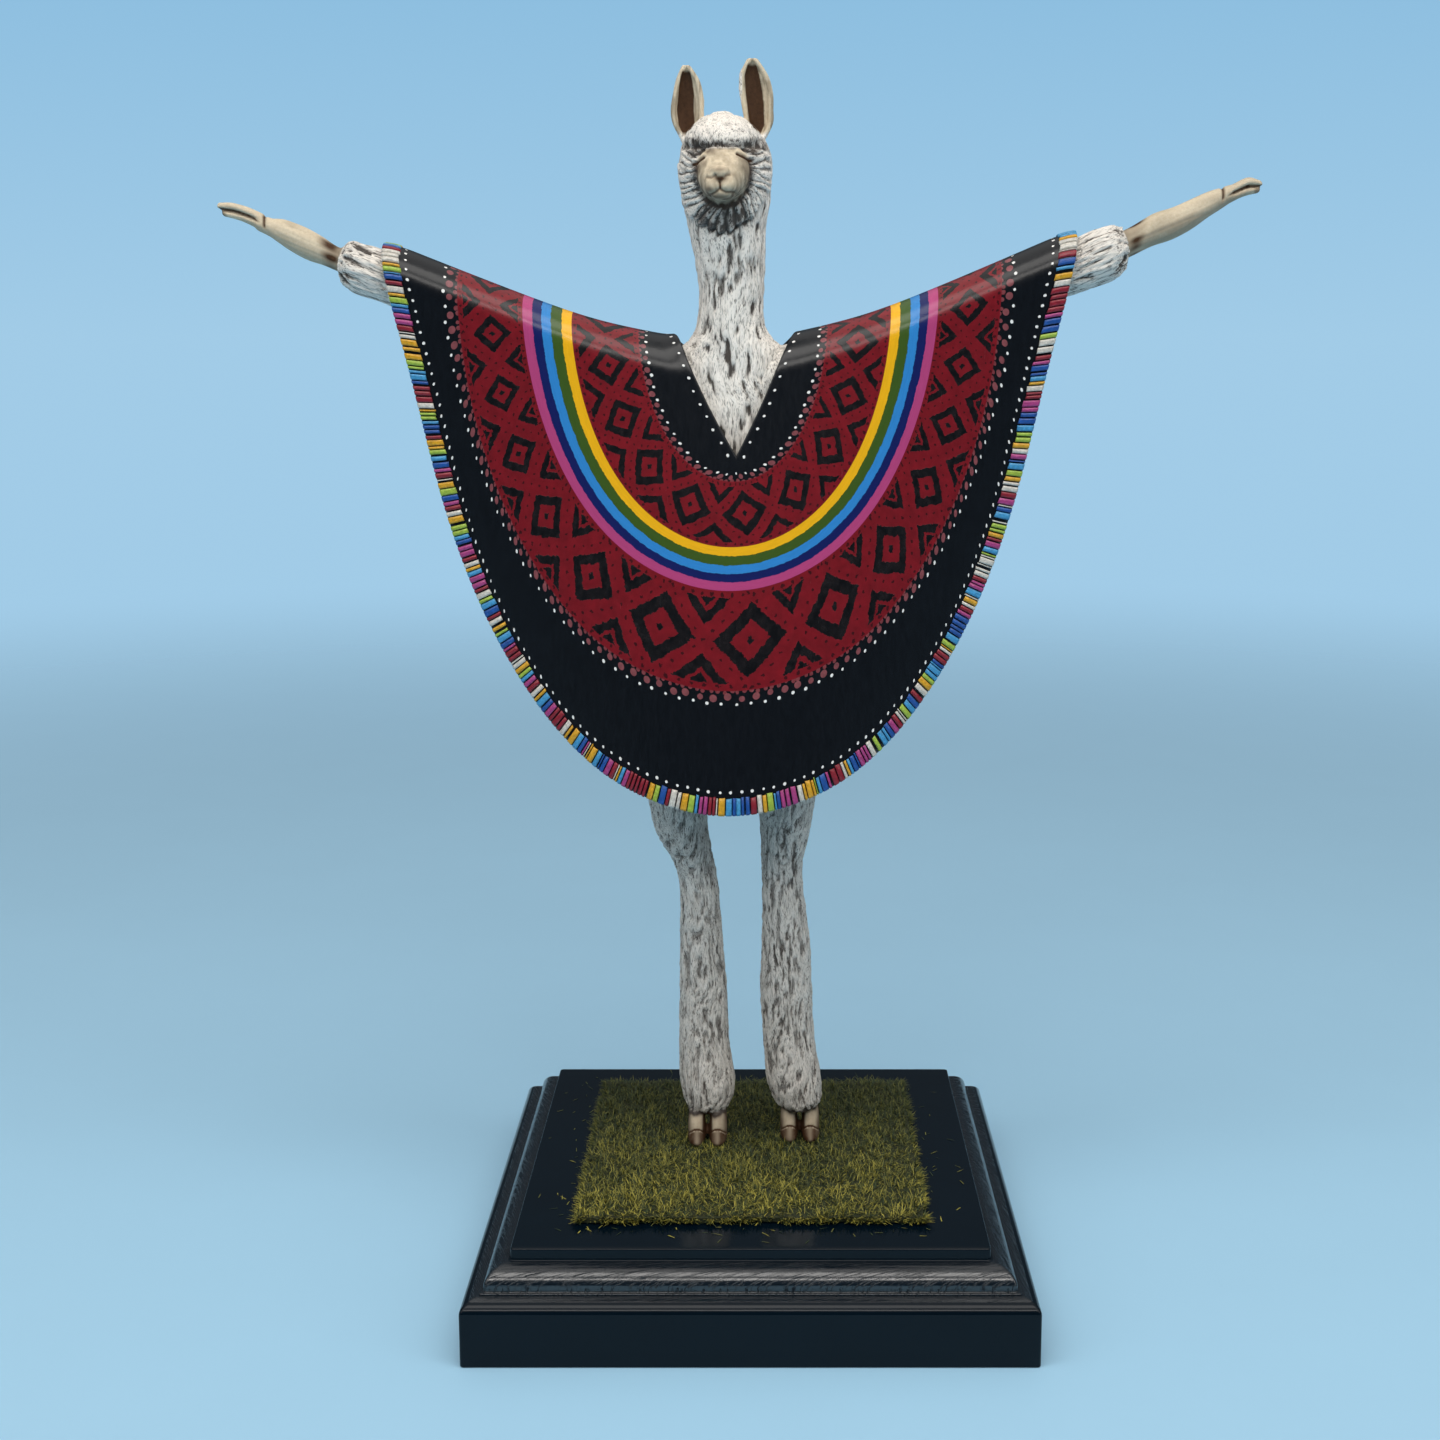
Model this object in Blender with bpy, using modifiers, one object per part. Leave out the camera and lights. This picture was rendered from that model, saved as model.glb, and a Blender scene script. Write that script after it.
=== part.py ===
"""Standing llama figure in a painted poncho, on a grass mat and a lacquered plinth.

Units are metres. The origin is the middle of the plinth's underside, +Z is up
and the figure faces -Y. Lengths below are written in millimetres times MM.
"""

import math

import bmesh
import bpy
from mathutils import Vector

MM = 0.001
TAU = 2.0 * math.pi
WELD_DISTANCE = 0.01 * MM

# Plain colours and roughness of the four materials
LACQUER = ("black_lacquer", (0.008, 0.010, 0.014), 0.15)
GRASS = ("grass", (0.10, 0.13, 0.02), 0.95)
PAINTED_CLOTH = ("painted_cloth", (0.012, 0.012, 0.016), 0.2)
WHITE_FUR = ("white_fur", (0.62, 0.60, 0.56), 0.75)

# Plinth: half widths and heights of the routed edge
PLINTH_HEIGHT = 26.8 * MM
BASE_HALF = 75.0 * MM
BASE_EDGE_HEIGHT = 14.1 * MM
TOP_HALF = 63.0 * MM
RISER_FOOT = 23.5 * MM
FILLET_WIDTH = 0.9 * MM
LOWER_MOULD_HALF = 70.4 * MM
LOWER_MOULD_TOP = 17.5 * MM
UPPER_MOULD_HALF = 69.4 * MM
UPPER_MOULD_FOOT = 18.0 * MM
UPPER_ROUND_FOOT = 18.9 * MM
EDGE_BEVEL = 0.5 * MM
MOULD_STEPS = 5
PLINTH_SIDES = 4

# Grass mat, glued to the top of the plinth
JOINT_GAP = 0.3 * MM
MAT_WIDTH = 94.5 * MM
MAT_DEPTH = 97.0 * MM
MAT_THICKNESS = 1.3 * MM
MAT_RAGGED = 0.7 * MM
MAT_SIDE_POINTS = 18
# Each wave of the ragged edge: turn per point, shift per side and size
MAT_WAVES = ((5.1, 1.7, 1.0), (11.3, 1.0, 0.6))

# Figure: the middle of the body and the level that the hooves stand on
BODY_X = -6.0 * MM
BODY_Y = 7.0 * MM
SOLE_Z = PLINTH_HEIGHT + JOINT_GAP + MAT_THICKNESS + JOINT_GAP

# Poncho: ridge line over the arms
RIDGE_HEIGHT = 267.15 * MM
ELBOW = 40.0 * MM
SHOULDER_SLOPE = 0.21
ARM_SLOPE = 0.417
RIDGE_EASE = 12.0 * MM
RIDGE_TILT = 0.0168
DROOP_START = 87.0 * MM
DROOP_RATE = 17.0
SLEEVE_RADIUS = 9.6 * MM
CHEST_SWELL = 3.4 * MM
SWELL_REACH = 38.0 * MM
FLARE_ANGLE = math.radians(10.0)
PONCHO_THICKNESS = 1.5 * MM

# Poncho: loops round the neck, as half width at the ridge and drop at the front.
# The rows of points run from loop 0 (neck) through 1 (yoke) to 4 (inner edge of the fringe).
NECK_HALF = 17.2 * MM
NECK_DROP = 39.6 * MM
NECK_POWER = 1.3
NECK_BACK_DROP = 14.5 * MM
NECK_SHIFT = 1.0 * MM
HEM_HALF = 87.0 * MM
HEM_DROP = 136.7 * MM
HEM_POWER = 2.43
SLEEVE_END = 8.2 * MM
SLEEVE_END_REACH = 35.0 * MM
YOKE_HALF = 25.2 * MM
YOKE_DROP = 43.2 * MM
YOKE_POWER = 2.2
PONCHO_ROWS = (0.0, 0.5, 1.0, 1.45, 1.9, 2.35, 2.8, 3.25, 3.65)
FRINGE_LEVEL = 4.0
QUARTER_COLUMNS = 14
HEM_SAMPLES = 400
ARM_COLUMN_WEIGHT = 2.4
ARM_COLUMN_REACH = 18.0 * MM
FRINGE_WIDTH = 4.7 * MM
FRINGE_LIFT = 0.45 * MM
FRINGE_STEP = 0.6 * MM

# Arms inside the sleeves: stations by the distance from the middle of the body
ARM_CLEARANCE = 1.0 * MM
ARM_REACHES = (10.0 * MM, 22.0 * MM, 40.0 * MM, 62.0 * MM, 84.0 * MM)

# Fur: deep locks run along the body, neck and limbs, and sway as they go
LOCK_DEPTH = 0.07
LOCK_SWAY = 0.35
SWAY_TURN = 0.9
BODY_LOCKS = 9
LEG_LOCKS = 7
ARM_LOCKS = 6

# Rings and sides of each lofted form
TRUNK_GRID = (28, 27)
LEG_GRID = (16, 21)
ARM_GRID = (10, 18)
HAND_GRID = (9, 12)
EAR_GRID = (9, 12)
MUZZLE_GRID = (7, 16)
NOSE_GRID = (4, 10)
CAP_GRID = (6, 18)
TOE_GRID = (6, 10)
EYELID_GRID = (3, 8)
FINGER_GRID = (6, 8)

# How far the end of a form bulges, as a share of its last radius
LIMB_BULGE = 0.4
ARM_BULGE = 0.3
HAND_BULGE = 0.5
EAR_BULGE = 0.8
TOE_BULGE = 0.1
FINGER_BULGE = 0.7
EAR_HOLLOW = 1.2

# Stations along each form in millimetres: centre x, y, z and the two half widths
TRUNK = (
    (-6.0, 8.0, 157.0, 10.0, 7.0),
    (-6.0, 8.0, 164.0, 18.0, 12.0),
    (-6.0, 8.0, 177.0, 19.0, 12.5),
    (-6.0, 8.0, 197.0, 16.0, 11.5),
    (-6.0, 7.3, 226.0, 19.0, 12.2),
    (-6.0, 7.0, 243.0, 20.5, 11.2),
    (-5.6, 6.8, 252.0, 19.5, 9.9),
    (-5.3, 6.9, 258.0, 16.0, 9.6),
    (-5.6, 7.0, 263.0, 10.6, 9.6),
    (-5.8, 7.0, 268.0, 9.1, 9.2),
    (-5.6, 7.0, 275.5, 8.9, 9.1),
    (-5.9, 7.0, 284.0, 9.7, 9.7),
    (-6.6, 6.9, 292.0, 10.7, 10.7),
    (-6.8, 6.6, 299.0, 11.9, 11.9),
    (-7.2, 6.3, 306.5, 12.8, 12.6),
    (-7.1, 6.3, 312.5, 12.3, 12.0),
    (-7.4, 6.5, 317.0, 10.2, 10.4),
    (-7.7, 6.5, 320.4, 7.0, 7.4),
    (-7.9, 6.5, 322.2, 3.2, 3.4),
)
LEFT_LEG = (
    (-14.5, 8.0, 170.0, 9.5, 10.5),
    (-18.5, 8.0, 154.0, 10.5, 11.3),
    (-21.0, 8.0, 137.0, 9.2, 10.6),
    (-21.1, 8.0, 125.5, 8.0, 9.6),
    (-19.7, 8.0, 119.0, 7.2, 8.6),
    (-17.2, 8.0, 112.5, 6.0, 7.2),
    (-15.6, 8.0, 105.0, 5.6, 6.5),
    (-14.9, 8.0, 90.0, 6.1, 6.7),
    (-14.4, 8.0, 72.0, 6.9, 7.3),
    (-14.2, 8.0, 57.0, 7.3, 7.8),
    (-13.3, 7.6, 46.5, 8.0, 8.5),
    (-13.1, 7.2, 41.0, 7.3, 7.8),
    (-13.1, 6.8, 38.0, 5.4, 6.2),
)
RIGHT_LEG = (
    (3.5, 8.0, 170.0, 9.5, 10.5),
    (7.0, 8.0, 154.0, 10.3, 11.3),
    (9.6, 8.0, 137.0, 9.0, 10.6),
    (9.8, 8.0, 125.5, 7.7, 9.6),
    (9.3, 8.0, 118.5, 6.8, 8.5),
    (8.7, 8.0, 112.0, 6.0, 7.2),
    (8.8, 8.0, 105.0, 5.9, 6.5),
    (9.8, 8.0, 88.0, 7.0, 7.2),
    (9.9, 8.0, 75.0, 7.5, 7.7),
    (10.6, 8.0, 60.0, 7.5, 7.8),
    (12.2, 7.6, 46.5, 8.0, 8.5),
    (13.2, 7.2, 41.0, 7.2, 7.7),
    (13.5, 6.8, 38.5, 5.5, 6.2),
)
LEFT_CUFF = (
    (-98.5, 7.0, 277.7, 7.0, 7.0),
    (-104.0, 7.0, 279.8, 7.4, 7.3),
    (-109.5, 7.0, 281.6, 7.1, 6.9),
    (-112.8, 7.0, 282.0, 5.1, 5.1),
)
RIGHT_CUFF = (
    (88.0, 7.0, 281.3, 7.1, 7.1),
    (94.0, 7.0, 283.6, 8.0, 8.0),
    (99.0, 7.0, 285.2, 7.6, 7.6),
    (102.6, 7.0, 286.0, 5.4, 5.6),
)
LEFT_HAND = (
    (-108.0, 7.0, 281.8, 3.4, 3.4),
    (-114.0, 7.0, 283.6, 3.4, 3.4),
    (-118.5, 7.0, 286.0, 3.8, 3.9),
    (-123.0, 7.0, 288.0, 4.1, 4.4),
    (-128.5, 7.0, 290.6, 3.9, 3.9),
    (-132.5, 7.0, 292.2, 3.4, 2.7),
    (-136.0, 7.0, 293.6, 2.8, 2.3),
)
RIGHT_HAND = (
    (96.0, 7.0, 285.0, 3.6, 3.8),
    (104.0, 7.0, 288.2, 3.6, 4.1),
    (110.5, 7.0, 291.6, 3.9, 4.4),
    (116.0, 7.0, 293.4, 4.1, 4.4),
    (121.0, 7.0, 295.8, 3.9, 4.2),
    (126.5, 7.0, 298.9, 3.4, 3.5),
    (131.5, 7.0, 301.3, 2.8, 2.5),
)
LEFT_EAR = (
    (-15.6, 7.5, 314.0, 2.8, 2.4),
    (-17.2, 7.5, 320.0, 4.3, 2.5),
    (-17.5, 7.5, 324.0, 4.6, 2.4),
    (-17.3, 7.5, 328.0, 4.2, 2.0),
    (-17.4, 7.5, 332.0, 3.2, 1.5),
    (-17.8, 7.5, 335.6, 1.2, 0.8),
)
RIGHT_EAR = (
    (0.2, 7.5, 314.0, 2.6, 2.4),
    (2.0, 7.5, 320.0, 3.9, 2.5),
    (1.8, 7.5, 324.0, 4.3, 2.4),
    (1.4, 7.5, 328.3, 4.6, 2.1),
    (0.7, 7.5, 333.0, 4.0, 1.6),
    (0.3, 7.5, 337.4, 1.5, 0.9),
)
MUZZLE = (
    (-7.3, 0.0, 306.5, 8.2, 7.6),
    (-7.5, -5.0, 306.2, 7.9, 7.4),
    (-7.8, -9.0, 304.8, 6.4, 6.3),
    (-8.0, -12.5, 303.2, 5.2, 5.1),
    (-8.1, -15.0, 302.6, 4.0, 4.1),
)
WOOL_CAP = (
    (-7.6, 3.4, 311.8, 9.0, 9.0),
    (-7.6, 3.6, 314.5, 10.6, 10.9),
    (-7.7, 4.0, 318.0, 9.6, 10.0),
    (-7.8, 4.8, 321.2, 6.2, 6.8),
    (-7.9, 5.4, 322.4, 2.8, 3.0),
)
NOSE = (
    (-8.1, -13.0, 305.2, 2.9, 2.0),
    (-8.1, -15.4, 305.4, 2.7, 1.9),
    (-8.1, -16.6, 305.2, 1.6, 1.1),
)

# Closed eyelids: y of the face, half width, and each station's step along y and share of the width
EYELID_DEPTH = -7.4
EYELID_HALF = 2.3
EYELID_FLATNESS = 0.6
EYELID_STEPS = ((2.5, 1.0), (0.4, 0.95), (-0.6, 0.6))
LEFT_EYELID = (-14.0, 309.3)
RIGHT_EYELID = (-2.0, 310.2)

# Hooves: half the distance between a foot's two toes, each toe's stations with heights
# above the sole, and the middle of each foot as x and the step along y
FOOT_SPREAD = 3.35
FOOT_TOE = (
    (-0.5, 7.5, 10.8, 2.2, 3.6),
    (0.0, 5.5, 7.3, 2.35, 4.8),
    (0.0, 4.0, 3.3, 2.5, 5.2),
    (0.0, 3.2, 1.1, 2.35, 5.4),
    (0.0, 3.2, 0.2, 1.9, 4.7),
)
LEFT_FOOT = (-13.2, -1.2)
RIGHT_FOOT = (14.0, 1.6)

# Fingers: two long toes on each hand, one above the other, as x, z and half thickness
LEFT_FINGERS = (
    ((-132.0, 292.9, 1.8), (-138.0, 296.2, 1.5), (-142.5, 297.7, 1.3), (-147.0, 298.0, 0.8)),
    ((-132.0, 291.4, 1.8), (-137.0, 293.2, 1.4), (-141.0, 294.4, 1.2), (-144.6, 294.9, 0.8)),
)
RIGHT_FINGERS = (
    ((127.5, 299.9, 1.8), (132.5, 302.6, 1.5), (136.5, 304.8, 1.3), (140.2, 304.2, 0.8)),
    ((127.5, 298.2, 1.8), (131.5, 300.2, 1.4), (135.5, 301.9, 1.2), (139.4, 302.9, 0.7)),
)
FINGER_DEPTH = 1.5


def clear_scene():
    """Remove every object, so that the model starts from nothing."""
    for item in list(bpy.data.objects):
        bpy.data.objects.remove(item, do_unlink=True)


def new_collection(name):
    """Make a collection in the scene and return it."""
    collection = bpy.data.collections.new(name)
    bpy.context.scene.collection.children.link(collection)
    return collection


def new_material(name, colour, roughness):
    """Make a plain Principled material."""
    material = bpy.data.materials.new(name)
    material.use_nodes = True
    shader = material.node_tree.nodes["Principled BSDF"]
    shader.inputs["Base Color"].default_value = (*colour, 1.0)
    shader.inputs["Roughness"].default_value = roughness
    material.diffuse_color = (*colour, 1.0)
    return material


def new_object(name, data, collection, material):
    """Put mesh or curve data in the collection as a named object."""
    item = bpy.data.objects.new(name, data)
    collection.objects.link(item)
    data.materials.append(material)
    return item


def mesh_from(name, grid):
    """Make a mesh from a bmesh with its faces turned outward."""
    bmesh.ops.recalc_face_normals(grid, faces=grid.faces)
    mesh = bpy.data.meshes.new(name)
    grid.to_mesh(mesh)
    grid.free()
    return mesh


def shade_round(item, angle=40.0):
    """Shade a round form smooth, with its hard edges kept."""
    item.data.shade_smooth()
    item.data.set_sharp_from_angle(angle=math.radians(angle))


def quarter_round(outer, inner, foot, crown):
    """Points of a convex moulding from its upper inner edge to its lower outer edge."""
    points = []
    for step in range(MOULD_STEPS + 1):
        turn = math.pi / 2.0 * (1.0 - step / MOULD_STEPS)
        across = inner + (outer - inner) * math.cos(turn)
        height = foot + (crown - foot) * math.sin(turn)
        points.append((across, height))
    return points


def plinth_profile():
    """Half width and height of the plinth's edge, from the top's middle to the underside's middle."""
    fillet_half = TOP_HALF + FILLET_WIDTH
    profile = [
        (0.0, PLINTH_HEIGHT),
        (TOP_HALF - EDGE_BEVEL, PLINTH_HEIGHT),
        (TOP_HALF, PLINTH_HEIGHT - EDGE_BEVEL),
        (TOP_HALF, RISER_FOOT),
    ]
    profile += quarter_round(UPPER_MOULD_HALF, fillet_half, UPPER_ROUND_FOOT, RISER_FOOT)
    profile += [
        (UPPER_MOULD_HALF, UPPER_MOULD_FOOT),
        (LOWER_MOULD_HALF, UPPER_MOULD_FOOT),
    ]
    profile += quarter_round(BASE_HALF, LOWER_MOULD_HALF, BASE_EDGE_HEIGHT, LOWER_MOULD_TOP)
    profile += [
        (BASE_HALF, EDGE_BEVEL),
        (BASE_HALF - EDGE_BEVEL, 0.0),
        (0.0, 0.0),
    ]
    return profile


def add_plinth(collection):
    """Turn the mitred edge profile in four steps, which makes a square moulded block."""
    material = new_material(*LACQUER)
    grid = bmesh.new()
    corner = math.sqrt(2.0)
    points = [grid.verts.new((half * corner, 0.0, height)) for half, height in plinth_profile()]
    for first, second in zip(points, points[1:]):
        grid.edges.new((first, second))
    mesh = bpy.data.meshes.new("plinth")
    grid.to_mesh(mesh)
    grid.free()
    plinth = new_object("plinth", mesh, collection, material)
    plinth.rotation_euler.z = TAU / PLINTH_SIDES / 2.0
    screw = plinth.modifiers.new("square_turn", "SCREW")
    screw.steps = PLINTH_SIDES
    screw.render_steps = PLINTH_SIDES
    screw.use_merge_vertices = True
    screw.merge_threshold = WELD_DISTANCE
    screw.use_smooth_shade = False
    return plinth


def mat_outline():
    """Ragged rectangle of the grass mat, anticlockwise."""
    corners = ((-1, -1), (1, -1), (1, 1), (-1, 1))
    outline = []
    for index, start in enumerate(corners):
        end = corners[(index + 1) % len(corners)]
        for step in range(MAT_SIDE_POINTS):
            part = step / MAT_SIDE_POINTS
            along = Vector(start).lerp(Vector(end), part)
            wave = sum(size * math.sin(turn * step + shift * index) for turn, shift, size in MAT_WAVES)
            pull = 1.0 - MAT_RAGGED * (1.0 + wave) / MAT_WIDTH
            outline.append((along.x * MAT_WIDTH / 2.0 * pull, along.y * MAT_DEPTH / 2.0 * pull))
    return outline


def add_grass_patch(collection):
    """Lay the ragged mat on the plinth, with the joint's gap under it."""
    material = new_material(*GRASS)
    curve = bpy.data.curves.new("grass_patch", "CURVE")
    curve.dimensions = "2D"
    curve.fill_mode = "BOTH"
    curve.extrude = MAT_THICKNESS / 2.0
    outline = mat_outline()
    spline = curve.splines.new("POLY")
    spline.points.add(len(outline) - 1)
    for point, (across, depth) in zip(spline.points, outline):
        point.co = (across, depth, 0.0, 1.0)
    spline.use_cyclic_u = True
    mat = new_object("grass_patch", curve, collection, material)
    mat.location.z = PLINTH_HEIGHT + JOINT_GAP + MAT_THICKNESS / 2.0
    weld = mat.modifiers.new("close_caps", "WELD")
    weld.merge_threshold = WELD_DISTANCE
    return mat


def ridge_height(across):
    """Height of the poncho's top line at a distance to the right of its middle."""
    reach = math.hypot(across, RIDGE_EASE) - ELBOW
    mean = (SHOULDER_SLOPE + ARM_SLOPE) / 2.0
    bend = (ARM_SLOPE - SHOULDER_SLOPE) / 2.0
    rise = mean * reach + bend * math.hypot(reach, RIDGE_EASE)
    droop = DROOP_RATE * max(0.0, abs(across) - DROOP_START) ** 2
    return RIDGE_HEIGHT + rise + RIDGE_TILT * across - droop


def sleeve_radius(across):
    """Radius of the sheet where it bends over an arm or a shoulder."""
    return SLEEVE_RADIUS + CHEST_SWELL * math.exp(-(across / SWELL_REACH) ** 2)


def flare_angle(across):
    """Lean of the hanging sheet away from the body, widest in the middle."""
    part = min(1.0, abs(across) / HEM_HALF)
    return FLARE_ANGLE * math.cos(part * math.pi / 2.0) ** 2


def sheet_point(across, drop, lift=0.0):
    """Point on the poncho, from the distance across and the length down from the ridge."""
    radius = sleeve_radius(across)
    flare = flare_angle(across)
    side = -1.0 if drop >= 0.0 else 1.0
    length = abs(drop)
    full_bend = math.pi / 2.0 - flare
    bend = min(length / radius, full_bend)
    fall = max(0.0, length - radius * full_bend)
    depth = (radius + lift) * math.sin(bend) + fall * math.sin(flare)
    height = ridge_height(across) - radius + (radius + lift) * math.cos(bend)
    height -= fall * math.cos(flare)
    return Vector((BODY_X + across, BODY_Y + side * depth, height))


def neck_edge(part, front):
    """Neck opening at a share of the way from the ridge to its lowest point."""
    if front:
        return NECK_HALF * (1.0 - part ** NECK_POWER), NECK_DROP * part
    return NECK_HALF * math.sqrt(max(0.0, 1.0 - part * part)), NECK_BACK_DROP * part


def oval_edge(turn, half, drop, power):
    """Point of an oval loop round the neck, as distance across and drop."""
    return half * math.cos(turn) ** (2.0 / power), drop * math.sin(turn) ** (2.0 / power)


def sleeve_stretch(drop):
    """Extra reach of the hem where it passes over the arm."""
    return SLEEVE_END * math.exp(-(drop / SLEEVE_END_REACH) ** 2)


def hem_edge(turn, inset):
    """Point of a loop that runs a set width inside the hem."""
    across, drop = oval_edge(turn, HEM_HALF - inset, HEM_DROP - inset, HEM_POWER)
    return across + sleeve_stretch(drop) * math.cos(turn), drop


def loop_edge(turn, level, front):
    """Point of a loop between the neck, the yoke and the inner edge of the fringe."""
    if level <= 1.0:
        neck = neck_edge(math.sin(turn) ** (2.0 / YOKE_POWER), front)
        yoke = oval_edge(turn, YOKE_HALF, YOKE_DROP, YOKE_POWER)
        return tuple(a + (b - a) * level for a, b in zip(neck, yoke))
    yoke = oval_edge(turn, YOKE_HALF, YOKE_DROP, YOKE_POWER)
    hem = hem_edge(turn, FRINGE_WIDTH + FRINGE_STEP)
    part = (level - 1.0) / (FRINGE_LEVEL - 1.0)
    return tuple(a + (b - a) * part for a, b in zip(yoke, hem))


def quarter_turns():
    """Angles of one quarter of the loops, closer together where the sheet bends over the arm."""
    lengths = [0.0]
    last = hem_edge(0.0, 0.0)
    for step in range(1, HEM_SAMPLES + 1):
        spot = hem_edge(math.pi / 2.0 * step / HEM_SAMPLES, 0.0)
        closeness = 1.0 + ARM_COLUMN_WEIGHT * math.exp(-(spot[1] / ARM_COLUMN_REACH) ** 2)
        lengths.append(lengths[-1] + closeness * math.dist(last, spot))
        last = spot
    turns = []
    step = 0
    for column in range(QUARTER_COLUMNS + 1):
        wanted = lengths[-1] * column / QUARTER_COLUMNS
        while step < HEM_SAMPLES and lengths[step] < wanted:
            step += 1
        turns.append(math.pi / 2.0 * step / HEM_SAMPLES)
    return turns


def round_trip(turns):
    """Angle, left-right sign and front-back sign of every column, once round the neck."""
    columns = [(turn, 1.0, True) for turn in turns]
    columns += [(turn, -1.0, True) for turn in reversed(turns[:-1])]
    columns += [(turn, -1.0, False) for turn in turns[1:]]
    columns += [(turn, 1.0, False) for turn in reversed(turns[1:-1])]
    return columns


def add_poncho(collection):
    """Build the poncho as rings of points round the neck, thickened inward."""
    material = new_material(*PAINTED_CLOTH)
    columns = round_trip(quarter_turns())
    rings = [[loop_edge(turn, level, front) for turn, _, front in columns] for level in PONCHO_ROWS]
    rings.append([loop_edge(turn, FRINGE_LEVEL, front) for turn, _, front in columns])
    lifts = [0.0] * len(rings)
    for inset in (FRINGE_WIDTH, 0.0):
        rings.append([hem_edge(turn, inset) for turn, _, _ in columns])
        lifts.append(FRINGE_LIFT)
    grid = bmesh.new()
    rows = []
    for ring, lift in zip(rings, lifts):
        row = []
        for (across, drop), (_, sign, front) in zip(ring, columns):
            place = sign * across + NECK_SHIFT * (1.0 - across / HEM_HALF) ** 2
            row.append(grid.verts.new(sheet_point(place, drop if front else -drop, lift)))
        rows.append(row)
    for inner, outer in zip(rows, rows[1:]):
        for index in range(len(inner)):
            following = (index + 1) % len(inner)
            grid.faces.new((inner[index], inner[following], outer[following], outer[index]))
    mesh = bpy.data.meshes.new("poncho")
    grid.to_mesh(mesh)
    grid.free()
    poncho = new_object("poncho", mesh, collection, material)
    shade_round(poncho)
    solidify = poncho.modifiers.new("sheet_thickness", "SOLIDIFY")
    solidify.thickness = PONCHO_THICKNESS
    solidify.offset = -1.0
    return poncho


def spline_stations(stations, rings):
    """Read evenly spaced stations from a smooth curve through the given ones."""
    result = []
    last = len(stations) - 1
    for ring in range(rings):
        place = last * ring / (rings - 1)
        index = min(int(place), last - 1)
        part = place - index
        before = stations[max(index - 1, 0)]
        start, end = stations[index], stations[index + 1]
        after = stations[min(index + 2, last)]
        values = []
        for a, b, c, d in zip(before, start, end, after):
            slope_in = (c - a) / 2.0
            slope_out = (d - b) / 2.0
            cubic = 2.0 * b - 2.0 * c + slope_in + slope_out
            square = 3.0 * c - 3.0 * b - 2.0 * slope_in - slope_out
            values.append(((cubic * part + square) * part + slope_in) * part + b)
        result.append(values)
    return result


def loft(name, stations, axis, size, bulge, locks=0, hollow=0.0):
    """Loft ovals along the X, Y or Z axis, with fur locks as ridges or a hollow front."""
    rings, sides = size
    grid = bmesh.new()
    rows = []
    for number, (x, y, z, wide, deep) in enumerate(spline_stations(stations, rings)):
        sway = LOCK_SWAY * math.sin(SWAY_TURN * number)
        row = []
        for side in range(sides):
            turn = TAU * side / sides
            swell = 1.0
            if locks:
                turn += sway * TAU / sides
                swell = 1.0 + LOCK_DEPTH * math.cos(locks * TAU * side / sides) - LOCK_DEPTH / 2.0
            first = wide * swell * math.cos(turn)
            second = deep * swell * math.sin(turn)
            if hollow and second < 0.0:
                second += hollow * deep * math.sin(turn) ** 2
            offset = {"X": (0.0, first, second), "Y": (first, 0.0, second), "Z": (first, second, 0.0)}[axis]
            row.append(grid.verts.new((Vector((x, y, z)) + Vector(offset)) * MM))
        rows.append(row)
    for lower, upper in zip(rows, rows[1:]):
        for index in range(sides):
            following = (index + 1) % sides
            grid.faces.new((lower[index], lower[following], upper[following], upper[index]))
    for row, inner in ((rows[0], rows[1]), (rows[-1], rows[-2])):
        middle = sum((vert.co for vert in row), Vector()) / sides
        inward = sum((vert.co for vert in inner), Vector()) / sides
        outward = (middle - inward).normalized()
        radius = min((vert.co - middle).length for vert in row)
        pole = grid.verts.new(middle + outward * radius * bulge)
        for index in range(sides):
            grid.faces.new((row[index], row[(index + 1) % sides], pole))
    return mesh_from(name, grid)


def arm_stations(sign, cuff):
    """Stations of one arm, under the poncho's ridge as far as the cuff."""
    stations = []
    for reach in ARM_REACHES:
        radius = sleeve_radius(reach) - PONCHO_THICKNESS - ARM_CLEARANCE
        slope = SHOULDER_SLOPE if reach < ELBOW else ARM_SLOPE
        tilt = math.hypot(1.0, slope)
        height = ridge_height(sign * reach) - sleeve_radius(reach) * tilt
        place = (BODY_X + sign * reach, BODY_Y, height, radius, radius)
        stations.append(tuple(value / MM for value in place))
    return tuple(stations) + cuff


def finger_stations(points):
    """Stations of a long toe, flatter than it is deep."""
    return tuple((x, BODY_Y / MM, z, thick * FINGER_DEPTH, thick) for x, z, thick in points)


def eyelid_stations(place):
    """Stations of a closed eyelid, a low oval swelling on the face."""
    x, z = place
    return tuple(
        (x, EYELID_DEPTH + step, z, EYELID_HALF * wide, EYELID_HALF * wide * EYELID_FLATNESS)
        for step, wide in EYELID_STEPS
    )


def foot_toes(place):
    """Stations of a foot's two toes, side by side."""
    middle, step_back = place
    toes = []
    for sign in (-1.0, 1.0):
        toes.append(tuple(
            (middle + sign * (FOOT_SPREAD + x), y + step_back, z + SOLE_Z / MM, wide, deep)
            for x, y, z, wide, deep in FOOT_TOE
        ))
    return toes


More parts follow.
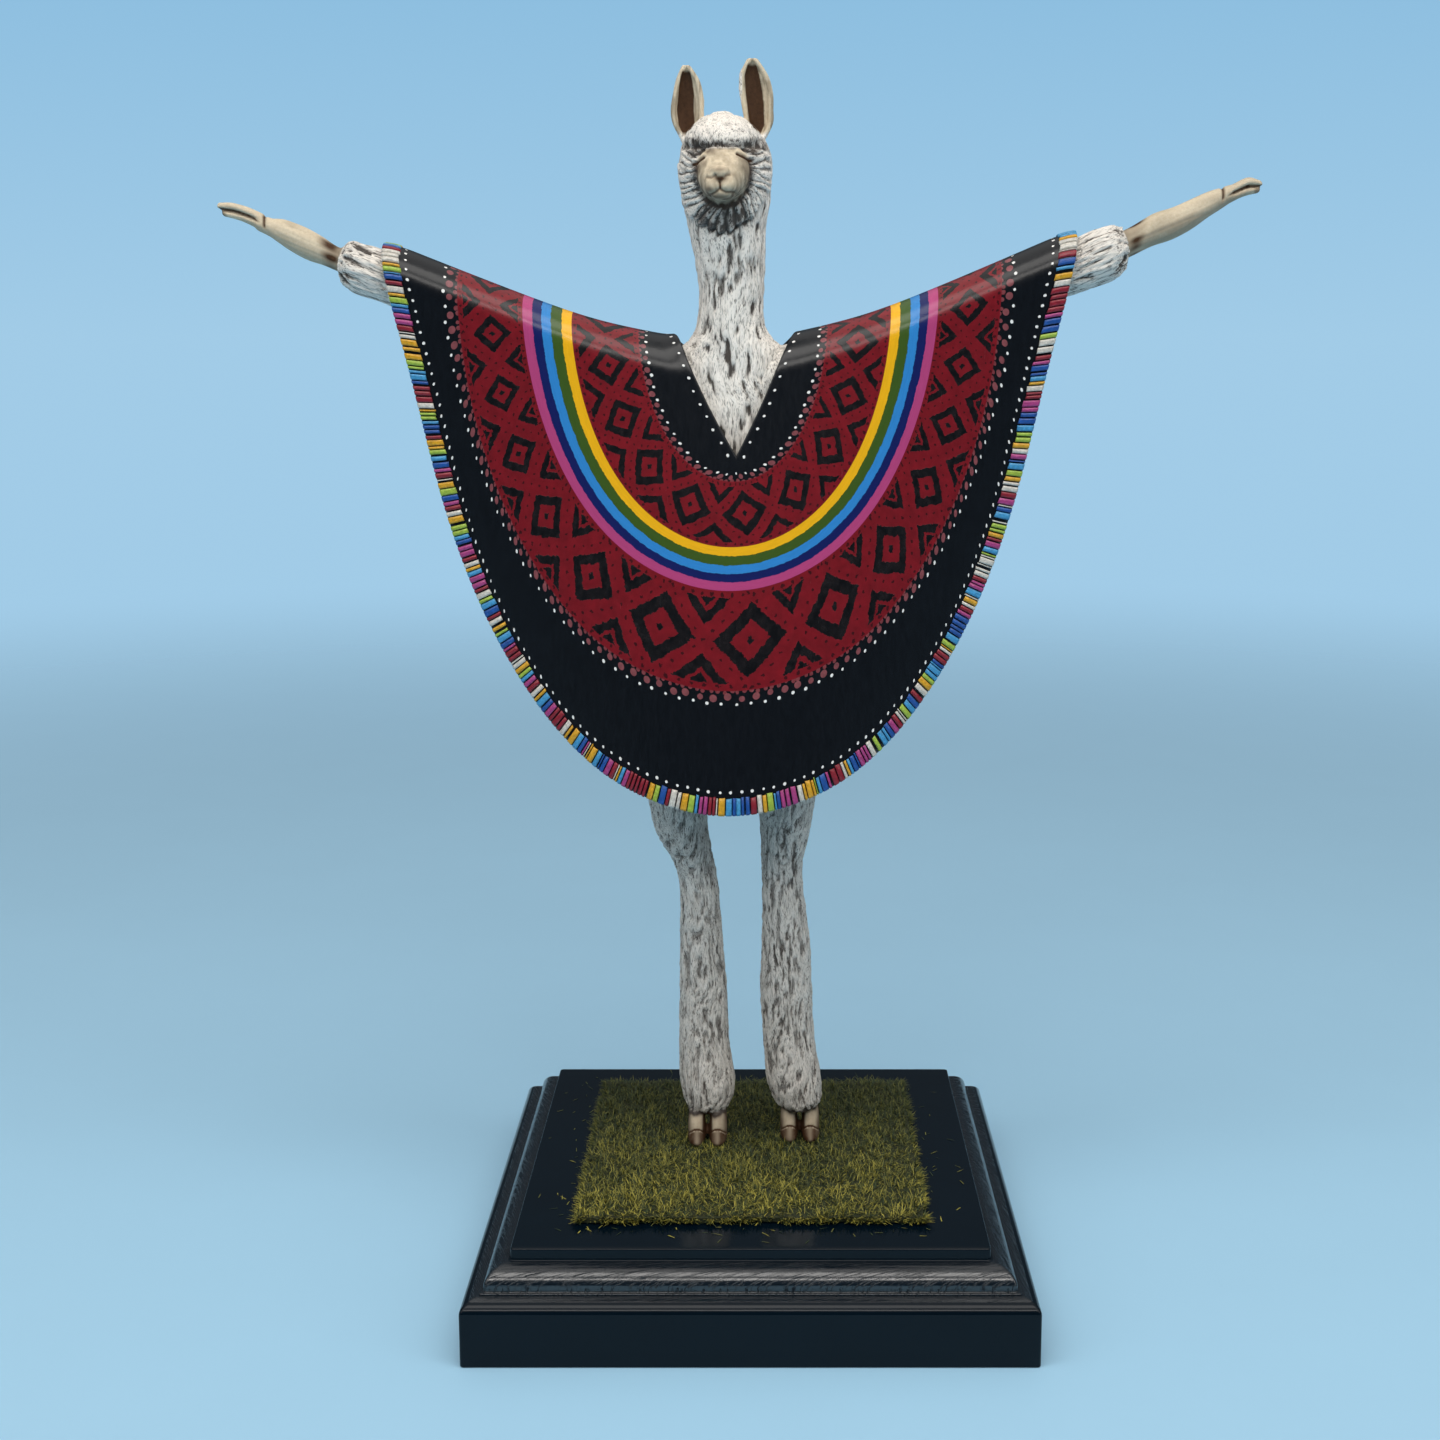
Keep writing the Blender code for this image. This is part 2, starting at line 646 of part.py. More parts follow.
def add_llama(collection, shapes):
    """Join the trunk, limbs, ears, face and hooves into one solid figure."""
    fur = new_material(*WHITE_FUR)
    forms = [
        ("left_leg", LEFT_LEG, "Z", LEG_GRID, LIMB_BULGE, LEG_LOCKS),
        ("right_leg", RIGHT_LEG, "Z", LEG_GRID, LIMB_BULGE, LEG_LOCKS),
        ("left_arm", arm_stations(-1.0, LEFT_CUFF), "X", ARM_GRID, ARM_BULGE, ARM_LOCKS),
        ("right_arm", arm_stations(1.0, RIGHT_CUFF), "X", ARM_GRID, ARM_BULGE, ARM_LOCKS),
        ("left_hand", LEFT_HAND, "X", HAND_GRID, HAND_BULGE),
        ("right_hand", RIGHT_HAND, "X", HAND_GRID, HAND_BULGE),
        ("left_ear", LEFT_EAR, "Z", EAR_GRID, EAR_BULGE, 0, EAR_HOLLOW),
        ("right_ear", RIGHT_EAR, "Z", EAR_GRID, EAR_BULGE, 0, EAR_HOLLOW),
        ("muzzle", MUZZLE, "Y", MUZZLE_GRID, LIMB_BULGE),
        ("nose", NOSE, "Y", NOSE_GRID, LIMB_BULGE),
        ("wool_cap", WOOL_CAP, "Z", CAP_GRID, LIMB_BULGE),
    ]
    for index, place in enumerate((LEFT_FOOT, RIGHT_FOOT)):
        for number, toe in enumerate(foot_toes(place)):
            forms.append((f"toe_{index}_{number}", toe, "Z", TOE_GRID, TOE_BULGE))
    for name, place in (("left_eyelid", LEFT_EYELID), ("right_eyelid", RIGHT_EYELID)):
        forms.append((name, eyelid_stations(place), "Y", EYELID_GRID, HAND_BULGE))
    for index, points in enumerate(LEFT_FINGERS + RIGHT_FINGERS):
        forms.append((f"finger_{index}", finger_stations(points), "X", FINGER_GRID, FINGER_BULGE))
    for name, *form in forms:
        shape = new_object(name, loft(name, *form), shapes, fur)
        shape.hide_render = True
        shape.display_type = "WIRE"
    trunk = loft("llama", TRUNK, "Z", TRUNK_GRID, LIMB_BULGE, BODY_LOCKS)
    llama = new_object("llama", trunk, collection, fur)
    shade_round(llama, 50.0)
    union = llama.modifiers.new("joined_limbs", "BOOLEAN")
    union.operation = "UNION"
    union.solver = "EXACT"
    union.operand_type = "COLLECTION"
    union.collection = shapes
    return llama


def build():
    """Make the whole figure."""
    clear_scene()
    figure = new_collection("inca_llama_figure")
    shapes = new_collection("llama_limb_shapes")
    add_plinth(figure)
    add_grass_patch(figure)
    add_llama(figure, shapes)
    add_poncho(figure)


build()
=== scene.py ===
"""Looks of a standing llama figure in a painted poncho, on a grass mat and a lacquered plinth.

Lengths are metres. Those that read better in millimetres are written times MM.
"""

import math

import bmesh
import bpy
import numpy as np
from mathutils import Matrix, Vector


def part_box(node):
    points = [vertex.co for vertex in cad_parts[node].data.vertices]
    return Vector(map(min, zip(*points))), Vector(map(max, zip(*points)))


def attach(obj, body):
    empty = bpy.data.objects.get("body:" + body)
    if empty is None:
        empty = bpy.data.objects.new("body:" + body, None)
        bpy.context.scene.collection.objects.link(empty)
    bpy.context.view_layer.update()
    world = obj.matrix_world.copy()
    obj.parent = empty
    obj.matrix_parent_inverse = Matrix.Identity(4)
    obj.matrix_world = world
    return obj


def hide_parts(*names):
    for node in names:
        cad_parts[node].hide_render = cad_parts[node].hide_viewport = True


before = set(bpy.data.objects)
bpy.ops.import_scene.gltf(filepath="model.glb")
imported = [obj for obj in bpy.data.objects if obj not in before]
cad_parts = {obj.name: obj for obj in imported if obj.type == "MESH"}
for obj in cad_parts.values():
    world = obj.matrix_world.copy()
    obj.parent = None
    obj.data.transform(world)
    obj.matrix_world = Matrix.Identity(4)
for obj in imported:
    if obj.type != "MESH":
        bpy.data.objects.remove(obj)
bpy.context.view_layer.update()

MM = 0.001
TAU = 2.0 * math.pi

# Camera of the photograph
CAMERA_PLACE = (0.0042, -0.5379, 0.2627)
CAMERA_PITCH = math.radians(9.0)
CAMERA_LENS = 48.33
CAMERA_SENSOR = 36.0
CAMERA_SHIFT = (-0.0324, -0.0538)

# Studio: a round floor that fades into the backdrop, and rectangular softboxes
FLOOR_RADIUS = 1.7
FLOOR_FADE = (0.45, 1.6)
FLOOR_SIDES = 96
FLOOR_COLOUR = (0.36, 0.62, 0.82)
BACKDROP_STOPS = (
    (0.0, (0.36, 0.60, 0.80)),
    (0.5, (0.36, 0.60, 0.80)),
    (0.60, (0.25, 0.50, 0.73)),
    (0.9, (0.32, 0.58, 0.83)),
)
ROOM_STOPS = (
    (0.0, (0.20, 0.28, 0.34)),
    (0.45, (0.085, 0.11, 0.13)),
    (0.56, (0.045, 0.060, 0.075)),
    (0.74, (0.11, 0.13, 0.15)),
    (1.0, (0.95, 0.93, 0.90)),
)
LIGHT_AIM = (0.0, 0.0, 0.2)
# Each softbox: name, place, width and depth, power and colour
SOFTBOXES = (
    ("top_softbox", (0.0, -0.30, 0.90), (1.0, 0.34), 3.1, (1.0, 0.97, 0.93)),
    ("front_softbox", (0.0, -1.15, 1.15), (1.7, 0.26), 7.2, (1.0, 0.965, 0.92)),
    ("left_softbox", (-1.0, -0.6, 0.85), (0.6, 0.9), 2.9, (1.0, 0.96, 0.92)),
    ("right_softbox", (1.0, -0.6, 0.85), (0.6, 0.9), 3.1, (1.0, 0.96, 0.92)),
)

# Plinth: half widths and heights of the routed edge
PLINTH_HEIGHT = 26.8 * MM
BASE_HALF = 75.0 * MM
BASE_EDGE_HEIGHT = 14.1 * MM
TOP_HALF = 63.0 * MM
RISER_FOOT = 23.5 * MM
FILLET_WIDTH = 0.9 * MM
LOWER_MOULD_HALF = 70.4 * MM
LOWER_MOULD_TOP = 17.5 * MM
UPPER_MOULD_HALF = 69.4 * MM
UPPER_MOULD_FOOT = 18.0 * MM
UPPER_ROUND_FOOT = 18.9 * MM
EDGE_ROUND = 0.5 * MM
STEP_ROUND = 0.2 * MM
CORNER_ROUND = 0.9 * MM
MOULD_STEPS = 16
EDGE_STEPS = 4
CORNER_STEPS = 5
# Where the mouldings lie down the profile, in millimetres
MOULD_DEPTHS = (5.5, 18.5)
SHARP_ANGLE = math.radians(32.0)

# Figure
BODY_X = -6.0 * MM
BODY_Y = 7.0 * MM
SOLE_Z = 28.7 * MM

# Poncho: ridge line over the arms and the sheet that hangs from it
RIDGE_HEIGHT = 267.15 * MM
ELBOW = 40.0 * MM
SHOULDER_SLOPE = 0.21
ARM_SLOPE = 0.417
RIDGE_EASE = 12.0 * MM
RIDGE_TILT = 0.0168
DROOP_START = 87.0 * MM
DROOP_RATE = 17.0
SLEEVE_RADIUS = 9.6 * MM
CHEST_SWELL = 3.4 * MM
SWELL_REACH = 38.0 * MM
FLARE_ANGLE = math.radians(10.0)
PONCHO_THICKNESS = 1.5 * MM
NECK_HALF = 17.2 * MM
NECK_DROP = 39.6 * MM
NECK_POWER = 1.3
NECK_ROUNDNESS = 2.2
NECK_BACK_DROP = 14.5 * MM
NECK_SHIFT = 1.9 * MM
HEM_HALF = 87.0 * MM
HEM_DROP = 136.7 * MM
HEM_POWER = 2.43
SLEEVE_END = 8.2 * MM
SLEEVE_END_REACH = 35.0 * MM
FRINGE_WIDTH = 4.7 * MM
FRINGE_GAP = 0.3 * MM
BORDER_LIFT = 0.12 * MM
INSIDE_RINGS = 4
# The left shoulder's curled collar: height, middle angle and spread, and how fast it fades
COLLAR_CURL = (1.6 * MM, 0.16, 0.13)
CURL_FADE = 2.2
# Rows that roll over the neck's edge: inset and lift in millimetres
NECK_ROLL = ((-0.25, -0.05), (-0.42, -0.45), (-0.42, -1.0), (-0.2, -1.4), (0.3, -1.5))

# Painted loops round the neck: half width at the ridge, drop at the front and roundness
YOKE_LOOP = (26.2 * MM, 45.8 * MM, 2.2)
RAINBOW_IN_LOOP = (44.0 * MM, 63.7 * MM, 2.25)
RAINBOW_OUT_LOOP = (57.1 * MM, 75.6 * MM, 2.3)
RED_OUT_LOOP = (74.5 * MM, 102.9 * MM, 2.36)
INNER_DIAMONDS = 5
OUTER_DIAMONDS = 7
BAND_DIAMONDS = {"inner_band": INNER_DIAMONDS}

# Columns of the sheet's grid in a quarter of the loop, and rings in each zone
QUARTER_COLUMNS = 92
LOOP_SAMPLES = 4000
ARM_COLUMN_WEIGHT = 1.2
ARM_COLUMN_REACH = 18.0 * MM
ZONE_RINGS = {"yoke": 12, "inner_band": 14, "rainbow": 8, "outer_band": 16, "field": 20, "border": 4}

# Fringe blocks along the hem, whose colours follow each other in one order
BLOCK_LENGTHS = (0.75 * MM, 1.85 * MM)
SLIVER_LENGTHS = (0.35 * MM, 0.6 * MM)
BLOCK_GAPS = (0.15 * MM, 0.40 * MM)
WIDE_GAPS = (0.5 * MM, 1.0 * MM)
BLOCK_STEP = 0.6 * MM
BLOCK_ROUND = 0.14 * MM
FRINGE_SEED = 11
FRINGE_COLUMNS = 400
# Section of a block from its inner edge round the hem: inset and lift in millimetres
BLOCK_SECTION = (
    (4.7, 0.10), (4.62, 0.40), (4.3, 0.55), (2.4, 0.62), (0.4, 0.58), (-0.05, 0.42),
    (-0.22, 0.0), (-0.22, -1.0), (0.05, -1.55), (0.5, -1.75), (1.3, -1.80), (1.5, -1.55),
)
FRINGE_COLOURS = {
    "cream": (0.80, 0.76, 0.68),
    "orange": (0.86, 0.44, 0.02),
    "lime": (0.44, 0.62, 0.07),
    "sky": (0.07, 0.38, 0.72),
    "blue": (0.012, 0.10, 0.42),
    "magenta": (0.50, 0.06, 0.26),
    "crimson": (0.32, 0.012, 0.03),
}

# Pattern colours
BLACK_PAINT = (0.0022, 0.0030, 0.0045)
RED_PAINT = (0.23, 0.009, 0.016)
RED_DEEP = (0.12, 0.006, 0.010)
ROSE_PAINT = (0.30, 0.085, 0.095)
WHITE_PAINT = (0.80, 0.79, 0.76)
RAINBOW = (
    (0.0, (0.82, 0.42, 0.010)),
    (0.20, (0.045, 0.092, 0.014)),
    (0.42, (0.030, 0.22, 0.56)),
    (0.61, (0.007, 0.013, 0.10)),
    (0.80, (0.42, 0.055, 0.18)),
)

# Arms inside the sleeves: stations by the distance from the middle of the body
ARM_CLEARANCE = 1.0 * MM
ARM_REACHES = (10.0 * MM, 22.0 * MM, 40.0 * MM, 62.0 * MM, 84.0 * MM)

# Stations along each form in millimetres: centre x, y, z and the two half widths
TRUNK = (
    (-6.0, 8.0, 157.0, 10.0, 7.0),
    (-6.0, 8.0, 164.0, 18.0, 12.0),
    (-6.0, 8.0, 177.0, 19.0, 12.5),
    (-6.0, 8.0, 197.0, 16.0, 11.5),
    (-6.0, 7.3, 226.0, 19.0, 12.2),
    (-6.0, 7.0, 243.0, 20.5, 11.2),
    (-5.6, 6.8, 252.0, 19.5, 9.9),
    (-5.3, 6.9, 258.0, 16.0, 9.6),
    (-5.6, 7.0, 263.0, 10.6, 9.6),
    (-5.8, 7.0, 268.0, 9.1, 9.2),
    (-5.6, 7.0, 275.5, 8.9, 9.1),
    (-5.9, 7.0, 284.0, 9.7, 9.7),
    (-6.6, 6.9, 292.0, 10.7, 10.7),
    (-6.8, 6.6, 299.0, 11.9, 11.9),
    (-7.2, 6.3, 306.5, 12.8, 12.6),
    (-7.1, 6.3, 312.5, 12.3, 12.0),
    (-7.4, 6.5, 317.0, 10.2, 10.4),
    (-7.7, 6.5, 320.4, 7.0, 7.4),
    (-7.9, 6.5, 322.2, 3.2, 3.4),
)
LEFT_LEG = (
    (-14.5, 8.0, 170.0, 9.5, 10.5),
    (-18.5, 8.0, 154.0, 10.5, 11.3),
    (-21.0, 8.0, 137.0, 9.2, 10.6),
    (-21.1, 8.0, 125.5, 8.0, 9.6),
    (-19.7, 8.0, 119.0, 7.2, 8.6),
    (-17.2, 8.0, 112.5, 6.0, 7.2),
    (-15.6, 8.0, 105.0, 5.6, 6.5),
    (-14.9, 8.0, 90.0, 6.1, 6.7),
    (-14.4, 8.0, 72.0, 6.9, 7.3),
    (-14.2, 8.0, 57.0, 7.3, 7.8),
    (-13.3, 7.6, 46.5, 8.0, 8.5),
    (-13.1, 7.2, 41.0, 7.3, 7.8),
    (-13.1, 6.8, 38.0, 5.4, 6.2),
)
RIGHT_LEG = (
    (3.5, 8.0, 170.0, 9.5, 10.5),
    (7.0, 8.0, 154.0, 10.3, 11.3),
    (9.6, 8.0, 137.0, 9.0, 10.6),
    (9.8, 8.0, 125.5, 7.7, 9.6),
    (9.3, 8.0, 118.5, 6.8, 8.5),
    (8.7, 8.0, 112.0, 6.0, 7.2),
    (8.8, 8.0, 105.0, 5.9, 6.5),
    (9.8, 8.0, 88.0, 7.0, 7.2),
    (9.9, 8.0, 75.0, 7.5, 7.7),
    (10.6, 8.0, 60.0, 7.5, 7.8),
    (12.2, 7.6, 46.5, 8.0, 8.5),
    (13.2, 7.2, 41.0, 7.2, 7.7),
    (13.5, 6.8, 38.5, 5.5, 6.2),
)
LEFT_CUFF = (
    (-98.5, 7.0, 277.7, 7.0, 7.0),
    (-104.0, 7.0, 279.8, 7.4, 7.3),
    (-109.5, 7.0, 281.6, 7.1, 6.9),
    (-112.8, 7.0, 282.0, 5.1, 5.1),
)
RIGHT_CUFF = (
    (88.0, 7.0, 281.3, 7.1, 7.1),
    (94.0, 7.0, 283.6, 8.0, 8.0),
    (99.0, 7.0, 285.2, 7.6, 7.6),
    (102.6, 7.0, 286.0, 5.4, 5.6),
)
LEFT_HAND = (
    (-108.0, 7.0, 281.8, 3.4, 3.4),
    (-114.0, 7.0, 283.6, 3.4, 3.4),
    (-118.5, 7.0, 286.0, 3.8, 3.9),
    (-123.0, 7.0, 288.0, 4.1, 4.4),
    (-128.5, 7.0, 290.6, 3.9, 3.9),
    (-132.5, 7.0, 292.2, 3.4, 2.7),
    (-136.0, 7.0, 293.6, 2.8, 2.3),
)
RIGHT_HAND = (
    (96.0, 7.0, 285.0, 3.6, 3.8),
    (104.0, 7.0, 288.2, 3.6, 4.1),
    (110.5, 7.0, 291.6, 3.9, 4.4),
    (116.0, 7.0, 293.4, 4.1, 4.4),
    (121.0, 7.0, 295.8, 3.9, 4.2),
    (126.5, 7.0, 298.9, 3.4, 3.5),
    (131.5, 7.0, 301.3, 2.8, 2.5),
)
LEFT_EAR = (
    (-15.6, 7.5, 314.0, 2.8, 2.4),
    (-17.2, 7.5, 320.0, 4.3, 2.5),
    (-17.5, 7.5, 324.0, 4.6, 2.4),
    (-17.3, 7.5, 328.0, 4.2, 2.0),
    (-17.4, 7.5, 332.0, 3.2, 1.5),
    (-17.8, 7.5, 335.6, 1.2, 0.8),
)
RIGHT_EAR = (
    (0.2, 7.5, 314.0, 2.6, 2.4),
    (2.0, 7.5, 320.0, 3.9, 2.5),
    (1.8, 7.5, 324.0, 4.3, 2.4),
    (1.4, 7.5, 328.3, 4.6, 2.1),
    (0.7, 7.5, 333.0, 4.0, 1.6),
    (0.3, 7.5, 337.4, 1.5, 0.9),
)
MUZZLE = (
    (-7.3, 0.0, 306.5, 8.2, 7.6),
    (-7.5, -5.0, 306.2, 7.9, 7.4),
    (-7.8, -9.0, 304.8, 6.4, 6.3),
    (-8.0, -12.5, 303.2, 5.2, 5.1),
    (-8.1, -15.0, 302.6, 4.0, 4.1),
)
WOOL_CAP = (
    (-7.6, 3.4, 311.8, 9.0, 9.0),
    (-7.6, 3.6, 314.5, 10.6, 10.9),
    (-7.7, 4.0, 318.0, 9.6, 10.0),
    (-7.8, 4.8, 321.2, 6.2, 6.8),
    (-7.9, 5.4, 322.4, 2.8, 3.0),
)
NOSE = (
    (-8.1, -13.0, 305.2, 2.9, 2.0),
    (-8.1, -15.4, 305.4, 2.7, 1.9),
    (-8.1, -16.6, 305.2, 1.6, 1.1),
)

# Hooves: half the distance between a foot's two toes, each toe's stations with heights
# above the sole, and the middle of each foot as x and the step along y
FOOT_SPREAD = 3.0
FOOT_TOE = (
    (-0.5, 7.5, 10.8, 2.4, 3.6),
    (0.0, 5.5, 7.3, 2.60, 4.8),
    (0.0, 4.0, 3.3, 2.75, 5.2),
    (0.0, 3.2, 1.1, 2.60, 5.4),
    (0.0, 3.2, 0.2, 2.1, 4.7),
)
LEFT_FOOT = (-13.2, -1.2)
RIGHT_FOOT = (14.0, 1.6)

# Fingers: two long toes on each hand, one above the other, as x, z and half thickness
LEFT_FINGERS = (
    ((-132.0, 292.9, 1.8), (-138.0, 296.2, 1.5), (-142.5, 297.7, 1.3), (-146.4, 298.0, 1.1)),
    ((-132.0, 291.4, 1.8), (-137.0, 293.8, 1.4), (-141.0, 295.3, 1.1), (-145.2, 296.2, 1.0)),
)
RIGHT_FINGERS = (
    ((127.5, 299.9, 1.8), (132.5, 302.6, 1.5), (136.5, 304.6, 1.3), (139.8, 304.0, 1.1)),
    ((127.5, 298.2, 1.8), (131.5, 300.2, 1.4), (135.5, 301.9, 1.2), (139.2, 302.6, 1.0)),
)
FINGER_DEPTH = 1.5

# Carved head, in millimetres: face oval, wool edge over it, ruff and lines of the closed face
FACE_MIDDLE = (-7.4, 306.0)
FACE_HALF = (7.7, 8.6)
FRINGE_EDGE = 312.4
RUFF_RADIUS = 12.8
FACE_LINES = (
    (((-11.6, 304.2), (-10.4, 303.9), (-9.4, 304.5)), 0.34, 0.48, 0.60),
    (((-9.4, 304.5), (-8.8, 303.5), (-8.1, 302.8)), 0.30, 0.52, 0.72),
    (((-5.5, 304.8), (-6.4, 304.5), (-7.3, 303.6), (-8.1, 302.8)), 0.30, 0.50, 0.66),
    (((-8.1, 302.9), (-8.0, 301.1)), 0.42, 0.46, 0.85),
    (((-10.6, 299.6), (-9.4, 300.1), (-8.2, 301.0), (-6.5, 300.2), (-4.2, 300.3)), 0.40, 0.46, 0.70),
)
EYE_SLITS = (((-15.3, 308.2), (-12.6, 309.9)), ((-3.7, 310.9), (0.0, 309.3)))
LID_RISE = 0.85
RUFF_LOCK = 1.75
# Brown stains of the muzzle: strength, middle x and z, and reach across and up
FACE_STAINS = (
    (0.50, (-8.3, 306.0), (2.6, 0.7)),
    (0.92, (-8.0, 303.7), (2.1, 0.9)),
    (0.62, (-10.8, 301.0), (1.4, 0.9)),
    (0.60, (-8.0, 299.0), (3.2, 0.8)),
)
LIP_LOBES = ((-10.3, 301.6), (-5.7, 302.0))
EAR_RIM = 0.8
DOME_STEPS = 5
NECK_FOOT = 190.0
BODY_TOP = 250.0
KNEE_HEIGHT = 116.0
# Sizes of the cells that the forms are melted with, and the share of triangles that is kept
FINE_VOXEL = 0.31
LEG_VOXEL = 0.40
BODY_VOXEL = 0.95
HEAD_KEPT = 0.55
LEG_KEPT = 0.85
FUR_STRETCH = 6.5

# Grass mat
MAT_WIDTH = 94.5 * MM
MAT_DEPTH = 97.0 * MM
MAT_BACK_INSET = 2.0 * MM
GRASS_BLADES = 47000
EDGE_BLADES = 9500
GRASS_SEED = 5
STRAY_LIMIT = 60.0 * MM
STRAY_BLADES = 110
BLADE_JOINTS = 2


class Field:
    """A value inside a shader, so that a pattern can be written as a sum."""

    def __init__(self, tree, socket):
        self.tree = tree
        self.socket = socket

    def math(self, operation, *others):
        """Apply one of the shader's arithmetic operations."""
        node = self.tree.nodes.new("ShaderNodeMath")
        node.operation = operation
        for index, value in enumerate((self, *others)):
            if isinstance(value, Field):
                self.tree.links.new(value.socket, node.inputs[index])
            else:
                node.inputs[index].default_value = value
        return Field(self.tree, node.outputs[0])

    def __add__(self, other):
        return self.math("ADD", other)

    def __sub__(self, other):
        return self.math("SUBTRACT", other)

    def __rsub__(self, other):
        return (self * -1.0) + other

    def __mul__(self, other):
        return self.math("MULTIPLY", other)

    def __truediv__(self, other):
        return self.math("DIVIDE", other)

    __radd__ = __add__
    __rmul__ = __mul__

    def size(self):
        """Distance from zero."""
        return self.math("ABSOLUTE")

    def cell(self):
        """Whole number below the value."""
        return self.math("FLOOR")

    def part(self):
        """What is left above the whole number."""
        return self.math("FRACT")

    def below(self, limit):
        """1 where the value is under the limit, else 0."""
        return self.math("LESS_THAN", limit)

    def above(self, limit):
        """1 where the value is over the limit, else 0."""
        return self.math("GREATER_THAN", limit)

    def either(self, mask):
        """The larger of two masks."""
        return self.math("MAXIMUM", mask)

    def clamp(self):
        """Value kept from 0 to 1."""
        node = self * 1.0
        node.socket.node.use_clamp = True
        return node


class Finish:
    """A procedural material: its shader and the fields that drive it."""

    def __init__(self, name, roughness):
        self.material = bpy.data.materials.new(name)
        self.material.use_nodes = True
        self.tree = self.material.node_tree
        self.shader = self.tree.nodes["Principled BSDF"]
        self.shader.inputs["Roughness"].default_value = roughness

    def new(self, kind, **settings):
        """Add a shader node with its settings."""
        node = self.tree.nodes.new("ShaderNode" + kind)
        for key, value in settings.items():
            setattr(node, key, value)
        return node

    def link(self, source, target):
        """Join a field or socket to an input."""
        self.tree.links.new(source.socket if isinstance(source, Field) else source, target)

    def place(self):
        """Object coordinates in millimetres, as a vector socket."""
        coordinates = self.new("TexCoord")
        scale = self.new("VectorMath", operation="SCALE")
        scale.inputs["Scale"].default_value = 1.0 / MM
        self.link(coordinates.outputs["Object"], scale.inputs[0])
        return scale.outputs[0]

    def split(self, socket):
        """The three parts of a vector socket."""
        node = self.new("SeparateXYZ")
        self.link(socket, node.inputs[0])
        return [Field(self.tree, output) for output in node.outputs]

    def map(self, name):
        """The two fields of a named UV map."""
        return self.split(self.new("UVMap", uv_map=name).outputs[0])[:2]

    def stored(self, name):
        """A number that the mesh's points carry."""
        return Field(self.tree, self.new("Attribute", attribute_name=name).outputs["Fac"])

    def vector(self, x, y, z=0.0):
        """Join three fields into a vector socket."""
        node = self.new("CombineXYZ")
        for index, value in enumerate((x, y, z)):
            if isinstance(value, Field):
                self.link(value, node.inputs[index])
            else:
                node.inputs[index].default_value = value
        return node.outputs[0]

    def noise(self, vector, scale, detail=3.0, roughness=0.55, distortion=0.0):
        """Smooth noise, from about 0.2 to 0.8."""
        node = self.new("TexNoise")
        node.inputs["Scale"].default_value = scale
        node.inputs["Detail"].default_value = detail
        node.inputs["Roughness"].default_value = roughness
        node.inputs["Distortion"].default_value = distortion
        self.link(vector, node.inputs["Vector"])
        return Field(self.tree, node.outputs["Fac"])

    def chance(self, *cells):
        """Three random fields from 0 to 1 for each cell."""
        node = self.new("TexWhiteNoise", noise_dimensions="3D")
        self.link(self.vector(*cells), node.inputs["Vector"])
        split = self.new("SeparateColor")
        self.link(node.outputs["Color"], split.inputs[0])
        return [Field(self.tree, split.outputs[index]) for index in range(3)]

    def ramp(self, field, stops, constant=False):
        """Colour of a field by its stops."""
        node = self.new("ValToRGB")
        if constant:
            node.color_ramp.interpolation = "CONSTANT"
        fill_ramp(node, stops)
        self.link(field, node.inputs[0])
        return node.outputs[0]

    def mix(self, share, first, second):
        """Colour between two others."""
        node = self.new("Mix", data_type="RGBA")
        for index, value in ((0, share), (6, first), (7, second)):
            if isinstance(value, tuple):
                node.inputs[index].default_value = (*value, 1.0)
            elif isinstance(value, float):
                node.inputs[index].default_value = value
            else:
                self.link(value, node.inputs[index])
        return node.outputs[2]

    def colour(self, socket):
        """Set the base colour."""
        self.link(socket, self.shader.inputs["Base Color"])

    def rough(self, field):
        """Set the roughness."""
        self.link(field, self.shader.inputs["Roughness"])

    def bump(self, height, distance, strength=1.0):
        """Set the relief, its height given in shares of the distance."""
        node = self.new("Bump")
        node.inputs["Distance"].default_value = distance
        node.inputs["Strength"].default_value = strength
        self.link(height, node.inputs["Height"])
        self.link(node.outputs[0], self.shader.inputs["Normal"])


def fill_ramp(node, stops):
    """Set the stops of a colour ramp."""
    while len(node.color_ramp.elements) < len(stops):
        node.color_ramp.elements.new(1.0)
    for element, (place, colour) in zip(node.color_ramp.elements, stops):
        element.position = place
        element.color = (*colour, 1.0)


def add_piece(name, mesh, slot, materials, *nodes):
    """Link a mesh as a piece of the figure, which may stand for nodes of the frame."""
    piece = bpy.data.objects.new(name, mesh)
    bpy.context.scene.collection.objects.link(piece)
    for finish in materials:
        mesh.materials.append(finish.material)
    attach(piece, "root")
    if nodes:
        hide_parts(*nodes)
    return piece


def mesh_from(name, points, faces, smooth=True):
    """Make a mesh from arrays of points and faces."""
    mesh = bpy.data.meshes.new(name)
    mesh.from_pydata(np.asarray(points).tolist(), [], np.asarray(faces).tolist())
    if smooth:
        mesh.shade_smooth()
    return mesh


def store(mesh, **masks):
    """Store masks from 0 to 1 of a mesh's points, each under its name."""
    for key, values in masks.items():
        layer = mesh.attributes.new(key, "FLOAT", "POINT")
        layer.data.foreach_set("value", np.clip(values, 0.0, 1.0))


def face_outward(mesh):
    """Turn every face outward."""
    grid = bmesh.new()
    grid.from_mesh(mesh)
    bmesh.ops.recalc_face_normals(grid, faces=grid.faces)
    grid.to_mesh(mesh)
    grid.free()


# Studio


